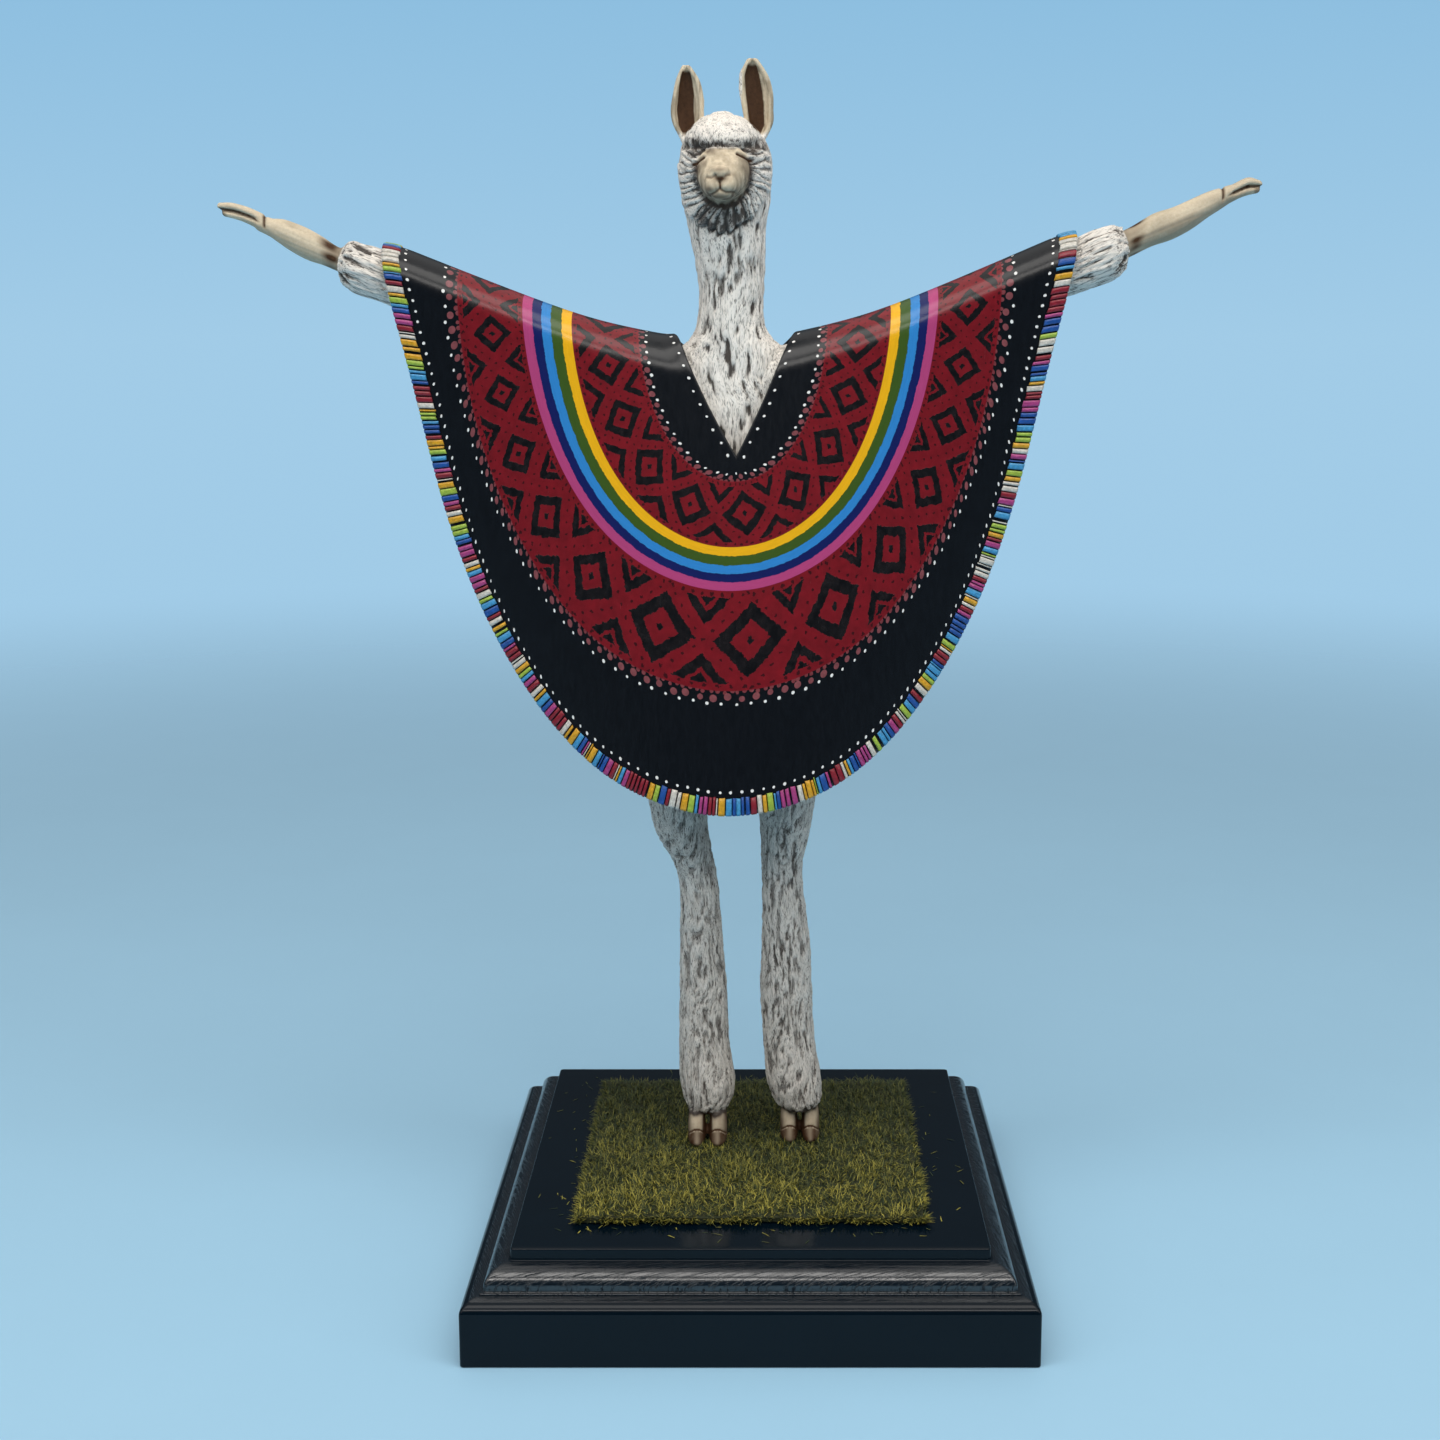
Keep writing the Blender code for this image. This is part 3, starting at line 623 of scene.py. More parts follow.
def add_camera():
    """Place the camera where the photograph was taken from."""
    data = bpy.data.cameras.new("camera")
    data.lens = CAMERA_LENS
    data.sensor_width = CAMERA_SENSOR
    data.shift_x, data.shift_y = CAMERA_SHIFT
    camera = bpy.data.objects.new("camera", data)
    camera.location = CAMERA_PLACE
    camera.rotation_euler = (math.pi / 2.0 - CAMERA_PITCH, 0.0, 0.0)
    bpy.context.scene.collection.objects.link(camera)
    bpy.context.scene.camera = camera


def add_light(name, place, target, size, power, colour):
    """Hang one soft rectangular light."""
    data = bpy.data.lights.new(name, "AREA")
    data.shape = "RECTANGLE"
    data.size, data.size_y = size
    data.energy = power
    data.color = colour
    light = bpy.data.objects.new(name, data)
    light.location = place
    light.visible_camera = False
    aim = Vector(target) - Vector(place)
    light.rotation_euler = aim.to_track_quat("-Z", "Y").to_euler()
    bpy.context.scene.collection.objects.link(light)


def direction_ramp(tree, stops):
    """Colour of the surroundings by height, from straight below to straight above."""
    coordinates = tree.nodes.new("ShaderNodeTexCoord")
    split = tree.nodes.new("ShaderNodeSeparateXYZ")
    tree.links.new(coordinates.outputs["Generated"], split.inputs[0])
    height = Field(tree, split.outputs[2]) * 0.5 + 0.5
    ramp = tree.nodes.new("ShaderNodeValToRGB")
    fill_ramp(ramp, stops)
    tree.links.new(height.socket, ramp.inputs[0])
    return ramp.outputs[0]


def add_world():
    """Set a pale backdrop, and a dimmer room for the varnish to reflect."""
    world = bpy.data.worlds.new("studio")
    world.use_nodes = True
    tree = world.node_tree
    room = tree.nodes["Background"]
    backdrop = tree.nodes.new("ShaderNodeBackground")
    tree.links.new(direction_ramp(tree, ROOM_STOPS), room.inputs[0])
    tree.links.new(direction_ramp(tree, BACKDROP_STOPS), backdrop.inputs[0])
    path = tree.nodes.new("ShaderNodeLightPath")
    mix = tree.nodes.new("ShaderNodeMixShader")
    tree.links.new(path.outputs["Is Camera Ray"], mix.inputs[0])
    tree.links.new(room.outputs[0], mix.inputs[1])
    tree.links.new(backdrop.outputs[0], mix.inputs[2])
    tree.links.new(mix.outputs[0], tree.nodes["World Output"].inputs["Surface"])
    bpy.context.scene.world = world


def add_floor():
    """Lay the round floor, whose edge fades into the backdrop."""
    mesh = bpy.data.meshes.new("floor")
    grid = bmesh.new()
    bmesh.ops.create_circle(grid, cap_ends=True, radius=FLOOR_RADIUS, segments=FLOOR_SIDES)
    grid.to_mesh(mesh)
    grid.free()
    floor = bpy.data.objects.new("floor", mesh)
    bpy.context.scene.collection.objects.link(floor)
    paper = Finish("pale_paper", 0.55)
    place = paper.place()
    tone = paper.noise(place, 0.02, 2.0)
    paper.colour(paper.mix(tone, FLOOR_COLOUR, tuple(0.97 * value for value in FLOOR_COLOUR)))
    x, y, _ = [part * MM for part in paper.split(place)]
    radius = (x * x + y * y).math("SQRT")
    fade = ((radius - FLOOR_FADE[0]) / (FLOOR_FADE[1] - FLOOR_FADE[0])).clamp()
    paper.link(1.0 - fade * fade * (3.0 - fade * 2.0), paper.shader.inputs["Alpha"])
    mesh.materials.append(paper.material)


def add_studio():
    """Set the floor, the backdrop and the lights."""
    add_floor()
    add_world()
    for name, place, size, power, colour in SOFTBOXES:
        add_light(name, place, LIGHT_AIM, size, power, colour)
    bpy.context.scene.view_settings.view_transform = "Standard"


# Plinth


def rounded_corner(points, radius, steps):
    """Replace each inner corner of an open outline by a short arc."""
    result = [points[0]]
    for before, corner, after in zip(points, points[1:], points[2:]):
        corner = Vector(corner)
        back = Vector(before) - corner
        ahead = Vector(after) - corner
        reach = min(radius, back.length * 0.45, ahead.length * 0.45)
        start = corner + back.normalized() * reach
        end = corner + ahead.normalized() * reach
        for step in range(steps + 1):
            part = step / steps
            low = start.lerp(corner, part)
            high = corner.lerp(end, part)
            result.append(tuple(low.lerp(high, part)))
    result.append(points[-1])
    return result


def quarter_round(outer, inner, foot, crown):
    """Points of a convex moulding from its upper inner edge to its lower outer edge."""
    points = []
    for step in range(MOULD_STEPS + 1):
        turn = math.pi / 2.0 * (1.0 - step / MOULD_STEPS)
        points.append((inner + (outer - inner) * math.cos(turn), foot + (crown - foot) * math.sin(turn)))
    return points


def plinth_profile():
    """Half width and height of the plinth's edge, from its top face to its underside."""
    upper = quarter_round(UPPER_MOULD_HALF, TOP_HALF + FILLET_WIDTH, UPPER_ROUND_FOOT, RISER_FOOT)
    lower = quarter_round(BASE_HALF, LOWER_MOULD_HALF, BASE_EDGE_HEIGHT, LOWER_MOULD_TOP)
    rim = [(TOP_HALF - 4.0 * EDGE_ROUND, PLINTH_HEIGHT), (TOP_HALF, PLINTH_HEIGHT)]
    top = rounded_corner([*rim, (TOP_HALF, RISER_FOOT), upper[0]], EDGE_ROUND, EDGE_STEPS)
    step = rounded_corner(
        [upper[-1], (UPPER_MOULD_HALF, UPPER_MOULD_FOOT), (LOWER_MOULD_HALF, UPPER_MOULD_FOOT), lower[0]],
        STEP_ROUND, EDGE_STEPS)
    foot = rounded_corner(
        [lower[-1], (BASE_HALF, 0.0), (BASE_HALF - 4.0 * EDGE_ROUND, 0.0)], EDGE_ROUND, EDGE_STEPS)
    return top + upper[1:-1] + step + lower[1:-1] + foot


def plinth_ring(half, height):
    """Points round the plinth at one height with softened mitres, and their running lengths."""
    points = []
    along = []
    run = 0.0
    radius = min(CORNER_ROUND, half)
    centre = half - radius
    for side in range(4):
        turn = TAU * side / 4.0
        corner = turn + TAU / 8.0
        for step in range(CORNER_STEPS + 1):
            angle = turn + TAU / 4.0 * step / CORNER_STEPS
            x = centre * math.sqrt(2.0) * math.cos(corner) + radius * math.cos(angle)
            y = centre * math.sqrt(2.0) * math.sin(corner) + radius * math.sin(angle)
            points.append((x, y, height))
            along.append(run)
            if step < CORNER_STEPS:
                run += radius * TAU / 4.0 / CORNER_STEPS
        run += 2.0 * centre
    return points, along


def unroll_plinth(mesh, along, depths):
    """Map every face by its run round the plinth and its depth down the profile, in millimetres."""
    uv = mesh.uv_layers.new(name="run")
    full = 8.0 * BASE_HALF
    ring = len(along) // len(depths)
    for face in mesh.polygons:
        for corner in face.loop_indices:
            vertex = mesh.loops[corner].vertex_index
            run = along[vertex]
            if len(face.vertices) == 4 and along[face.vertices[0]] > full / 2.0 and run < full / 8.0:
                run += full
            uv.data[corner].uv = (run / MM, depths[vertex // ring] / MM)


def add_plinth():
    """Sweep the moulded edge round a square."""
    profile = plinth_profile()
    depths = np.concatenate([[0.0], np.cumsum([math.dist(a, b) for a, b in zip(profile, profile[1:])])])
    points = []
    along = []
    for half, height in profile:
        ring_points, runs = plinth_ring(half, height)
        points += ring_points
        along += runs
    ring = 4 * (CORNER_STEPS + 1)
    faces = []
    for row in range(len(profile) - 1):
        for index in range(ring):
            after = (index + 1) % ring
            low, high = row * ring, (row + 1) * ring
            faces.append((low + index, high + index, high + after, low + after))
    faces.append(tuple(range(ring)))
    faces.append(tuple(reversed(range((len(profile) - 1) * ring, len(profile) * ring))))
    mesh = bpy.data.meshes.new("plinth_block")
    mesh.from_pydata(points, [], faces)
    mesh.shade_smooth()
    mesh.set_sharp_from_angle(angle=SHARP_ANGLE)
    unroll_plinth(mesh, along, depths)
    face_outward(mesh)
    return add_piece("plinth_block", mesh, "black_lacquer", [lacquer_finish()], "plinth")


def lacquer_finish():
    """Glossy black lacquer over routed wood, with streaks along the mouldings; its black is tinted blue as a
    painted reflection of the blue studio.
    """
    finish = Finish("black_lacquer", 0.11)
    run, depth = finish.map("run")
    place = finish.place()
    streaks = finish.noise(finish.vector(run * 0.10, depth * 1.7), 1.0, 5.0, 0.7, 0.4)
    ticks = (finish.noise(finish.vector(run * 1.25, depth * 0.26), 1.0, 4.0, 0.8) * 9.0 - 4.9).clamp()
    orange_peel = finish.noise(place, 0.30, 2.0)
    moulded = depth.above(MOULD_DEPTHS[0]) * depth.below(MOULD_DEPTHS[1])
    relief = moulded * (streaks * 0.22 - ticks * 0.5) + orange_peel * 0.12
    finish.bump(relief, 0.20 * MM, 0.6)
    finish.rough(0.09 + orange_peel * 0.06 + moulded * ticks * 0.5)
    finish.link(0.20 + moulded * (1.0 - ticks) * 0.75, finish.shader.inputs["Specular IOR Level"])
    haze = finish.noise(place, 0.05, 3.0)
    # Painted reflection: the black is tinted blue for the blue surroundings that the lacquer reflects
    finish.colour(finish.mix(haze, (0.0005, 0.0034, 0.0070), (0.0010, 0.0058, 0.0115)))
    return finish


# Poncho


def bell(distance, width):
    """Smooth hump: 1 at no distance, and near 0 beyond twice the width."""
    return np.exp(-(distance / width) ** 2)


def ridge_height(across):
    """Height of the poncho's top line at a distance to the right of its middle."""
    reach = np.hypot(across, RIDGE_EASE) - ELBOW
    mean = (SHOULDER_SLOPE + ARM_SLOPE) / 2.0
    bend = (ARM_SLOPE - SHOULDER_SLOPE) / 2.0
    rise = mean * reach + bend * np.hypot(reach, RIDGE_EASE)
    droop = DROOP_RATE * np.maximum(0.0, np.abs(across) - DROOP_START) ** 2
    return RIDGE_HEIGHT + rise + RIDGE_TILT * across - droop


def sheet_point(across, drop, lift=0.0):
    """Points on the poncho, from distances across and lengths down from the ridge."""
    radius = SLEEVE_RADIUS + CHEST_SWELL * np.exp(-(across / SWELL_REACH) ** 2)
    share = np.minimum(1.0, np.abs(across) / HEM_HALF)
    flare = FLARE_ANGLE * np.cos(share * math.pi / 2.0) ** 2
    side = np.where(drop >= 0.0, -1.0, 1.0)
    length = np.abs(drop)
    full_bend = math.pi / 2.0 - flare
    bend = np.minimum(length / radius, full_bend)
    fall = np.maximum(0.0, length - radius * full_bend)
    depth = (radius + lift) * np.sin(bend) + fall * np.sin(flare)
    height = ridge_height(across) - radius + (radius + lift) * np.cos(bend) - fall * np.cos(flare)
    return np.stack([BODY_X + across, BODY_Y + side * depth, height], -1)


def oval_edge(turn, half, drop, power):
    """Point of an oval loop round the neck, as distance across and drop."""
    cosine = np.maximum(np.cos(turn), 0.0)
    return half * cosine ** (2.0 / power), drop * np.sin(turn) ** (2.0 / power)


def hem_edge(turn, inset):
    """Point of a loop that runs a set width inside the hem."""
    across, drop = oval_edge(turn, HEM_HALF - inset, HEM_DROP - inset, HEM_POWER)
    stretch = SLEEVE_END * np.exp(-(drop / SLEEVE_END_REACH) ** 2)
    return across + stretch * np.maximum(np.cos(turn), 0.0), drop


def neck_edge(turn, front):
    """Point of the neck opening, a V in front and a shallow curve behind."""
    part = np.sin(turn) ** (2.0 / NECK_ROUNDNESS)
    v_across = NECK_HALF * (1.0 - part ** NECK_POWER)
    back_across = NECK_HALF * np.sqrt(np.maximum(0.0, 1.0 - part * part))
    across = np.where(front, v_across, back_across)
    return across, np.where(front, NECK_DROP, NECK_BACK_DROP) * part


def quarter_turns(columns):
    """Angles of one quarter of the loops, evenly spaced along the hem and closer over the arm."""
    turn = np.linspace(0.0, math.pi / 2.0, LOOP_SAMPLES)
    across, drop = hem_edge(turn, 0.0)
    closeness = 1.0 + ARM_COLUMN_WEIGHT * np.exp(-(drop / ARM_COLUMN_REACH) ** 2)
    steps = np.hypot(np.diff(across), np.diff(drop)) * closeness[1:]
    lengths = np.concatenate([[0.0], np.cumsum(steps)])
    return np.interp(np.linspace(0.0, lengths[-1], columns + 1), lengths, turn)


def round_trip(turns):
    """Angle, left-right sign and front flag of every column, from the front's middle to itself again."""
    down = turns[::-1]
    turn = np.concatenate([down, turns[1:], down[1:], turns[1:]])
    count = len(turns) - 1
    sign = np.where(np.arange(len(turn)) <= 2 * count, 1.0, -1.0)
    place = np.arange(len(turn))
    front = (place <= count) | (place > 3 * count)
    return turn, sign, front


def placed(across, drop, sign, front, lift=0.0):
    """Points on the sheet for columns of a loop."""
    place = sign * across + NECK_SHIFT * (1.0 - across / HEM_HALF) ** 2
    return sheet_point(place, np.where(front, drop, -drop), lift)


def collar_curl(points_turn, sign, front):
    """Extra lift of the neck's edge where it curls up on the left shoulder."""
    height, middle, spread = COLLAR_CURL
    return np.where((sign < 0.0) & front, height * bell(points_turn - middle, spread), 0.0)


def poncho_loops(turn, front):
    """The painted loops from the neck to the hem, each as across and drop."""
    return [
        neck_edge(turn, front),
        oval_edge(turn, *YOKE_LOOP),
        oval_edge(turn, *RAINBOW_IN_LOOP),
        oval_edge(turn, *RAINBOW_OUT_LOOP),
        oval_edge(turn, *RED_OUT_LOOP),
        hem_edge(turn, FRINGE_WIDTH + FRINGE_GAP),
        hem_edge(turn, 0.0),
    ]


def loop_length(points):
    """Running length along a row of points."""
    steps = np.linalg.norm(np.diff(points, axis=0), axis=1)
    return np.concatenate([[0.0], np.cumsum(steps)])


def even_count(length, spacing):
    """Whole number of dots nearest to a spacing."""
    return max(1, round(length / spacing))


def band_turns(rings, diamonds):
    """Running place along a band, 1 for each diamond, where shapes keep their form as it widens."""
    middle = rings[len(rings) // 2]
    width = np.zeros(middle.shape[0])
    for lower, upper in zip(rings, rings[1:]):
        width += np.linalg.norm(upper - lower, axis=1)
    steps = np.linalg.norm(np.diff(middle, axis=0), axis=1) / ((width[1:] + width[:-1]) / 2.0)
    run = np.concatenate([[0.0], np.cumsum(steps)])
    quarter = (len(run) - 1) // 4
    result = np.empty_like(run)
    for number in range(4):
        part = slice(number * quarter, (number + 1) * quarter + 1)
        share = (run[part] - run[part][0]) / (run[part][-1] - run[part][0])
        result[part] = diamonds * (number + share)
    return result, run[-1] / (4.0 * diamonds)


def between_loops(loops, number, part):
    """A share of the way from one loop to the next, as across and drop."""
    (a0, d0), (a1, d1) = loops[number], loops[number + 1]
    return a0 + (a1 - a0) * part, d0 + (d1 - d0) * part


def zone_rows(name, number, loops, curl, sign, front):
    """Rows of points over one painted zone, from its inner loop to its outer one."""
    rows = []
    for step in range(ZONE_RINGS[name] + 1):
        part = step / ZONE_RINGS[name]
        lift = 0.0
        if name == "yoke":
            lift = curl * max(0.0, 1.0 - part * CURL_FADE) ** 2
        if name == "border":
            lift = BORDER_LIFT
        rows.append(placed(*between_loops(loops, number, part), sign, front, lift))
    return rows


def zone_maps(rows, band):
    """UV corners of a zone's rings of faces.

    The maps are the share of both loops' length, the distances from both edges in
    millimetres, and the place along and across the band.
    """
    inner, outer = loop_length(rows[0]), loop_length(rows[-1])
    loop = np.stack([inner / inner[-1], outer / outer[-1]], -1)
    steps = [np.linalg.norm(upper - lower, axis=1) for lower, upper in zip(rows, rows[1:])]
    across = np.concatenate([[np.zeros(len(band))], np.cumsum(steps, axis=0)])
    levels = [np.full(len(band), step / len(steps)) for step in range(len(rows))]
    maps = {
        "loop": [loop] * len(rows),
        "edge": [np.stack([part, across[-1] - part], -1) / MM for part in across],
        "band": [np.stack([band, level], -1) for level in levels],
    }
    return {
        key: [np.stack([low[:-1], low[1:], high[1:], high[:-1]], 1) for low, high in zip(level, level[1:])]
        for key, level in maps.items()
    }


def neck_rim(loops, curl, sign, front):
    """Rows that roll over the neck's edge, from the outside in."""
    width = np.hypot(loops[1][0] - loops[0][0], loops[1][1] - loops[0][1])
    rows = []
    for inset, lift in NECK_ROLL:
        across, drop = between_loops(loops, 0, inset * MM / width)
        rows.append(placed(np.maximum(across, 0.0), drop, sign, front, lift * MM + curl))
    return rows


def inside_rows(loops, sign, front):
    """Rows of the plain inside, one thickness below the outside."""
    rows = []
    for number in range(len(loops) - 1):
        for step in range(1, INSIDE_RINGS + 1):
            across, drop = between_loops(loops, number, step / INSIDE_RINGS)
            rows.append(placed(across, drop, sign, front, -PONCHO_THICKNESS))
    return rows


def ring_faces(rows, columns):
    """Faces between each row and the next, where the last row meets the first."""
    column = np.arange(columns)
    after = (column + 1) % columns
    faces = []
    for row in range(rows):
        low, high = row * columns, (row + 1) % rows * columns
        faces.append(np.stack([low + column, low + after, high + after, high + column], 1))
    return np.concatenate(faces)


def add_poncho():
    """Build the sheet in painted zones, with its thickness, rolled neck and plain inside."""
    turn, sign, front = round_trip(quarter_turns(QUARTER_COLUMNS))
    loops = poncho_loops(turn, front)
    curl = collar_curl(turn, sign, front)
    rings = []
    zone_of = []
    corner_maps = {"loop": [], "edge": [], "band": []}
    facts = {}
    for number, name in enumerate(ZONE_RINGS):
        rows = zone_rows(name, number, loops, curl, sign, front)
        band, ratio = band_turns(rows, BAND_DIAMONDS.get(name, OUTER_DIAMONDS))
        facts[name] = {"inner": loop_length(rows[0])[-1], "outer": loop_length(rows[-1])[-1], "ratio": ratio}
        rings += rows if number == 0 else rows[1:]
        zone_of += [number] * ZONE_RINGS[name]
        for key, blocks in zone_maps(rows, band).items():
            corner_maps[key] += blocks
    rows = rings[::-1] + neck_rim(loops, curl, sign, front) + inside_rows(loops, sign, front)
    columns = len(turn) - 1
    painted = len(zone_of)
    points = np.concatenate([row[:-1] for row in rows])
    mesh = mesh_from("painted_poncho", points, ring_faces(len(rows), columns))
    zones = np.full((len(rows), columns), len(ZONE_RINGS))
    zones[:painted] = np.array(zone_of)[::-1, None]
    mesh.polygons.foreach_set("material_index", zones.reshape(-1))
    for key, blocks in corner_maps.items():
        data = np.zeros((len(rows) * columns, 4, 2))
        data[:painted * columns] = np.concatenate(blocks[::-1])[:, [3, 2, 1, 0]]
        mesh.uv_layers.new(name=key).uv.foreach_set("vector", data.reshape(-1))
    face_outward(mesh)
    return add_piece("painted_poncho", mesh, "painted_cloth", poncho_finishes(facts), "poncho")


def poncho_finishes(facts):
    """Materials of the painted zones, and of the plain inside."""
    return [
        yoke_finish(facts["yoke"]),
        band_finish("inner_red_band", facts["inner_band"], INNER_DIAMONDS, 0.325, 0.01, False),
        rainbow_finish(),
        band_finish("outer_red_band", facts["outer_band"], OUTER_DIAMONDS, 0.30, 0.07, True),
        field_finish(facts["field"]),
        plain_black_finish("fringe_ground"),
        plain_black_finish("poncho_inside", 0.45),
    ]


def gloss_relief(finish, extra=None):
    """Brushed varnish: faint streaks and a slow swell, with any extra relief on top."""
    finish.shader.inputs["Specular IOR Level"].default_value = 0.36
    place = finish.place()
    swell = finish.noise(place, 0.10, 2.0)
    x, y, z = finish.split(place)
    brush = finish.noise(finish.vector(x * 0.9, y * 0.9, z * 0.16), 1.0, 4.0, 0.65, 0.6)
    relief = swell + brush * 0.35
    if extra is not None:
        relief = relief + extra
    finish.bump(relief, 0.16 * MM, 0.7)
    return brush


def dots(finish, along, across, loop, spacing, centre, radius, offset=0.0, jitter=0.12):
    """Row of hand-painted dots that runs round a loop, as a mask. Sizes are in millimetres."""
    count = even_count(loop / MM, spacing)
    step = loop / MM / count
    run = along * float(count) + offset
    first, second, third = finish.chance(run.cell(), centre * 7.3)
    x = (run.part() - 0.5 + (first - 0.5) * jitter) * step
    y = across - centre + (second - 0.5) * (jitter * step)
    distance = (x * x + y * y).math("SQRT")
    return distance.below(radius * 0.84 + third * (radius * 0.32))


def wobble(finish, scale, amount):
    """Small wandering of a painted edge."""
    return (finish.noise(finish.place(), scale, 2.0) - 0.5) * amount


def yoke_finish(fact):
    """Black yoke with white dots round the neck and a dotted outer border."""
    finish = Finish("black_yoke", 0.16)
    neck_along, rim_along = finish.map("loop")
    from_neck, from_rim = finish.map("edge")
    white = dots(finish, neck_along, from_neck, fact["inner"], 3.8, 1.5, 0.40)
    white = white.either(dots(finish, rim_along, from_rim, fact["outer"], 3.5, 2.1, 0.40, 0.5))
    rose = dots(finish, rim_along, from_rim, fact["outer"], 3.5, 1.2, 0.75)
    teeth = dots(finish, rim_along, from_rim, fact["outer"], 1.6, 0.0, 0.5, 0.2, 0.3)
    return bordered(finish, white, rose, teeth)


def field_finish(fact):
    """Black field with a dotted border on each side."""
    finish = Finish("black_field", 0.16)
    band_along, hem_along = finish.map("loop")
    from_band, from_hem = finish.map("edge")
    white = dots(finish, band_along, from_band, fact["inner"], 3.9, 3.6, 0.42, 0.5)
    white = white.either(dots(finish, hem_along, from_hem, fact["outer"], 3.0, 1.3, 0.40))
    rose = dots(finish, band_along, from_band, fact["inner"], 3.9, 1.9, 0.90, 0.0, 0.2)
    teeth = dots(finish, band_along, from_band, fact["inner"], 1.9, 0.15, 0.6, 0.2, 0.4)
    return bordered(finish, white, rose, teeth)


def bordered(finish, white, rose, teeth):
    """Black paint with masks for its white, rose and red marks."""
    place = finish.place()
    mottle = finish.noise(place, 0.9, 3.0)
    brush = gloss_relief(finish, white * 0.9 + rose * 0.3)
    black = finish.mix(brush, BLACK_PAINT, tuple(2.2 * value for value in BLACK_PAINT))
    colour = finish.mix(teeth * 0.9, black, finish.mix(mottle, RED_DEEP, ROSE_PAINT))
    colour = finish.mix(rose * (mottle * 0.7 + 0.35), colour, ROSE_PAINT)
    colour = finish.mix(white, colour, WHITE_PAINT)
    finish.colour(colour)
    finish.rough(0.15 + brush * 0.16)
    return finish


def band_finish(name, fact, diamonds, least, swell, triangles):
    """Red band with concentric black diamonds, chevrons, triangles and tiny dots."""
    finish = Finish(name, 0.18)
    ratio = fact["ratio"]
    along, level = finish.map("band")
    place = finish.place()
    along = along + wobble(finish, 0.55, 0.07) + wobble(finish, 1.9, 0.035) - 0.15
    level = level + wobble(finish, 0.6, 0.06) + wobble(finish, 2.1, 0.035)
    nearest = (along + 0.5).cell()
    first, second, third = finish.chance(nearest, ratio * 11.0)
    shift = along - nearest
    across = shift * ratio
    away = level - 0.5
    across = across + away * ((first - 0.5) * 0.22)
    away = away + (second - 0.5) * 0.03
    bottom = along.math("PINGPONG", 2.0 * diamonds)
    fade = (bottom * bottom) * -0.16
    grown = fade.math("EXPONENT") * swell + least + third * 0.02
    reach = across.size() + away.size()
    shapes = reach.below(grown) * (reach - grown * 0.55).above(0.0)
    spot = (across.size() * 1.2 + away.size()).below(0.052)
    between = (along.part() - 0.5) * ratio
    lean = (first - 0.5) * 0.5 + 1.15
    for edge in (level, 1.0 - level):
        arm = edge + between.size() * lean
        chevron = arm.below(0.36) * arm.above(0.225) * edge.above(0.075)
        shapes = shapes.either(chevron)
        if triangles:
            shapes = shapes.either(arm.below(0.17) * edge.above(0.075))
    shapes = shapes.either(spot)
    specks = speckles(along * ratio, level - 0.5, ratio)
    streak = finish.noise(finish.vector(along * 9.0, level * 7.0), 1.0, 4.0, 0.7)
    mottle = finish.noise(place, 0.35, 4.0, 0.65)
    red = finish.mix((mottle * 1.6 - 0.3).clamp(), RED_DEEP, RED_PAINT)
    black = finish.mix((streak * 2.2 - 0.9).clamp(), (0.003, 0.003, 0.004), (0.022, 0.017, 0.018))
    colour = finish.mix(specks * 0.85, red, (0.02, 0.004, 0.006))
    colour = finish.mix(shapes, colour, black)
    finish.colour(colour)
    brush = gloss_relief(finish, shapes * 0.3)
    finish.rough(0.16 + brush * 0.16)
    return finish


def speckles(across, away, ratio):
    """Tiny dots in lines along the sides of the diamonds and the two edges of the band."""
    mask = None
    gap = ratio / 5.0
    for first, second in ((across + away, across - away), (across - away, across + away)):
        line = (first / ratio - 0.5).part() - 0.5
        step = (second / gap).part() - 0.5
        line_off = (line * ratio).size() - ratio / 2.0
        distance = line_off * line_off + step * step * (gap * gap)
        dot = distance.below(0.023 ** 2)
        mask = dot if mask is None else mask.either(dot)
    step = ((across / 0.12).part() - 0.5) * 0.12
    edge = 0.5 - away.size() - 0.045
    distance = edge * edge + step * step
    return mask.either(distance.below(0.019 ** 2))


def rainbow_finish():
    """Stripes of yellow, green, light blue, navy and pink with hand-painted edges."""
    finish = Finish("rainbow", 0.18)
    along, level = finish.map("band")
    level = level + wobble(finish, 0.35, 0.05) + wobble(finish, 1.4, 0.02)
    stripes = finish.ramp(level, RAINBOW, True)
    streak = finish.noise(finish.vector(along * 3.0, level * 28.0), 1.0, 4.0, 0.7)
    shade = finish.new("HueSaturation")
    finish.link(stripes, shade.inputs["Color"])
    finish.link(0.82 + streak * 0.36, shade.inputs["Value"])
    finish.colour(shade.outputs[0])
    brush = gloss_relief(finish, streak * 0.3)
    finish.rough(0.14 + brush * 0.12)
    return finish


def plain_black_finish(name, roughness=0.2):
    """Black paint without a pattern."""
    finish = Finish(name, roughness)
    brush = gloss_relief(finish)
    finish.colour(finish.mix(brush, BLACK_PAINT, tuple(2.0 * value for value in BLACK_PAINT)))
    return finish


def fringe_finish(name, colour):
    """Thick glossy paint of one fringe block."""
    finish = Finish(name, 0.22)
    place = finish.place()
    streak = finish.noise(place, 1.3, 4.0, 0.7)
    dark = tuple(0.40 * value for value in colour)
    finish.colour(finish.mix((streak * 1.7 - 0.35).clamp(), dark, colour))
    finish.bump(finish.noise(place, 1.1, 3.0), 0.20 * MM, 0.8)
    finish.rough(0.22 + streak * 0.2)
    return finish


def fringe_plan(random, full):
    """Start, length and colour number of every block along the hem."""
    plan = []
    place = 0.0
    kind = 3
    while place < full - BLOCK_LENGTHS[0]:
        chance = random.random()
        length = random.uniform(*(SLIVER_LENGTHS if chance < 0.10 else BLOCK_LENGTHS))
        length = min(length, full - place)
        plan.append((place, length, 0 if chance < 0.05 else kind))
        place += length + random.uniform(*(WIDE_GAPS if random.random() < 0.10 else BLOCK_GAPS))
        kind = (kind + int(random.choice([0, 0, 1, 1, 1, 1, 1, 2]))) % len(FRINGE_COLOURS)
    return plan


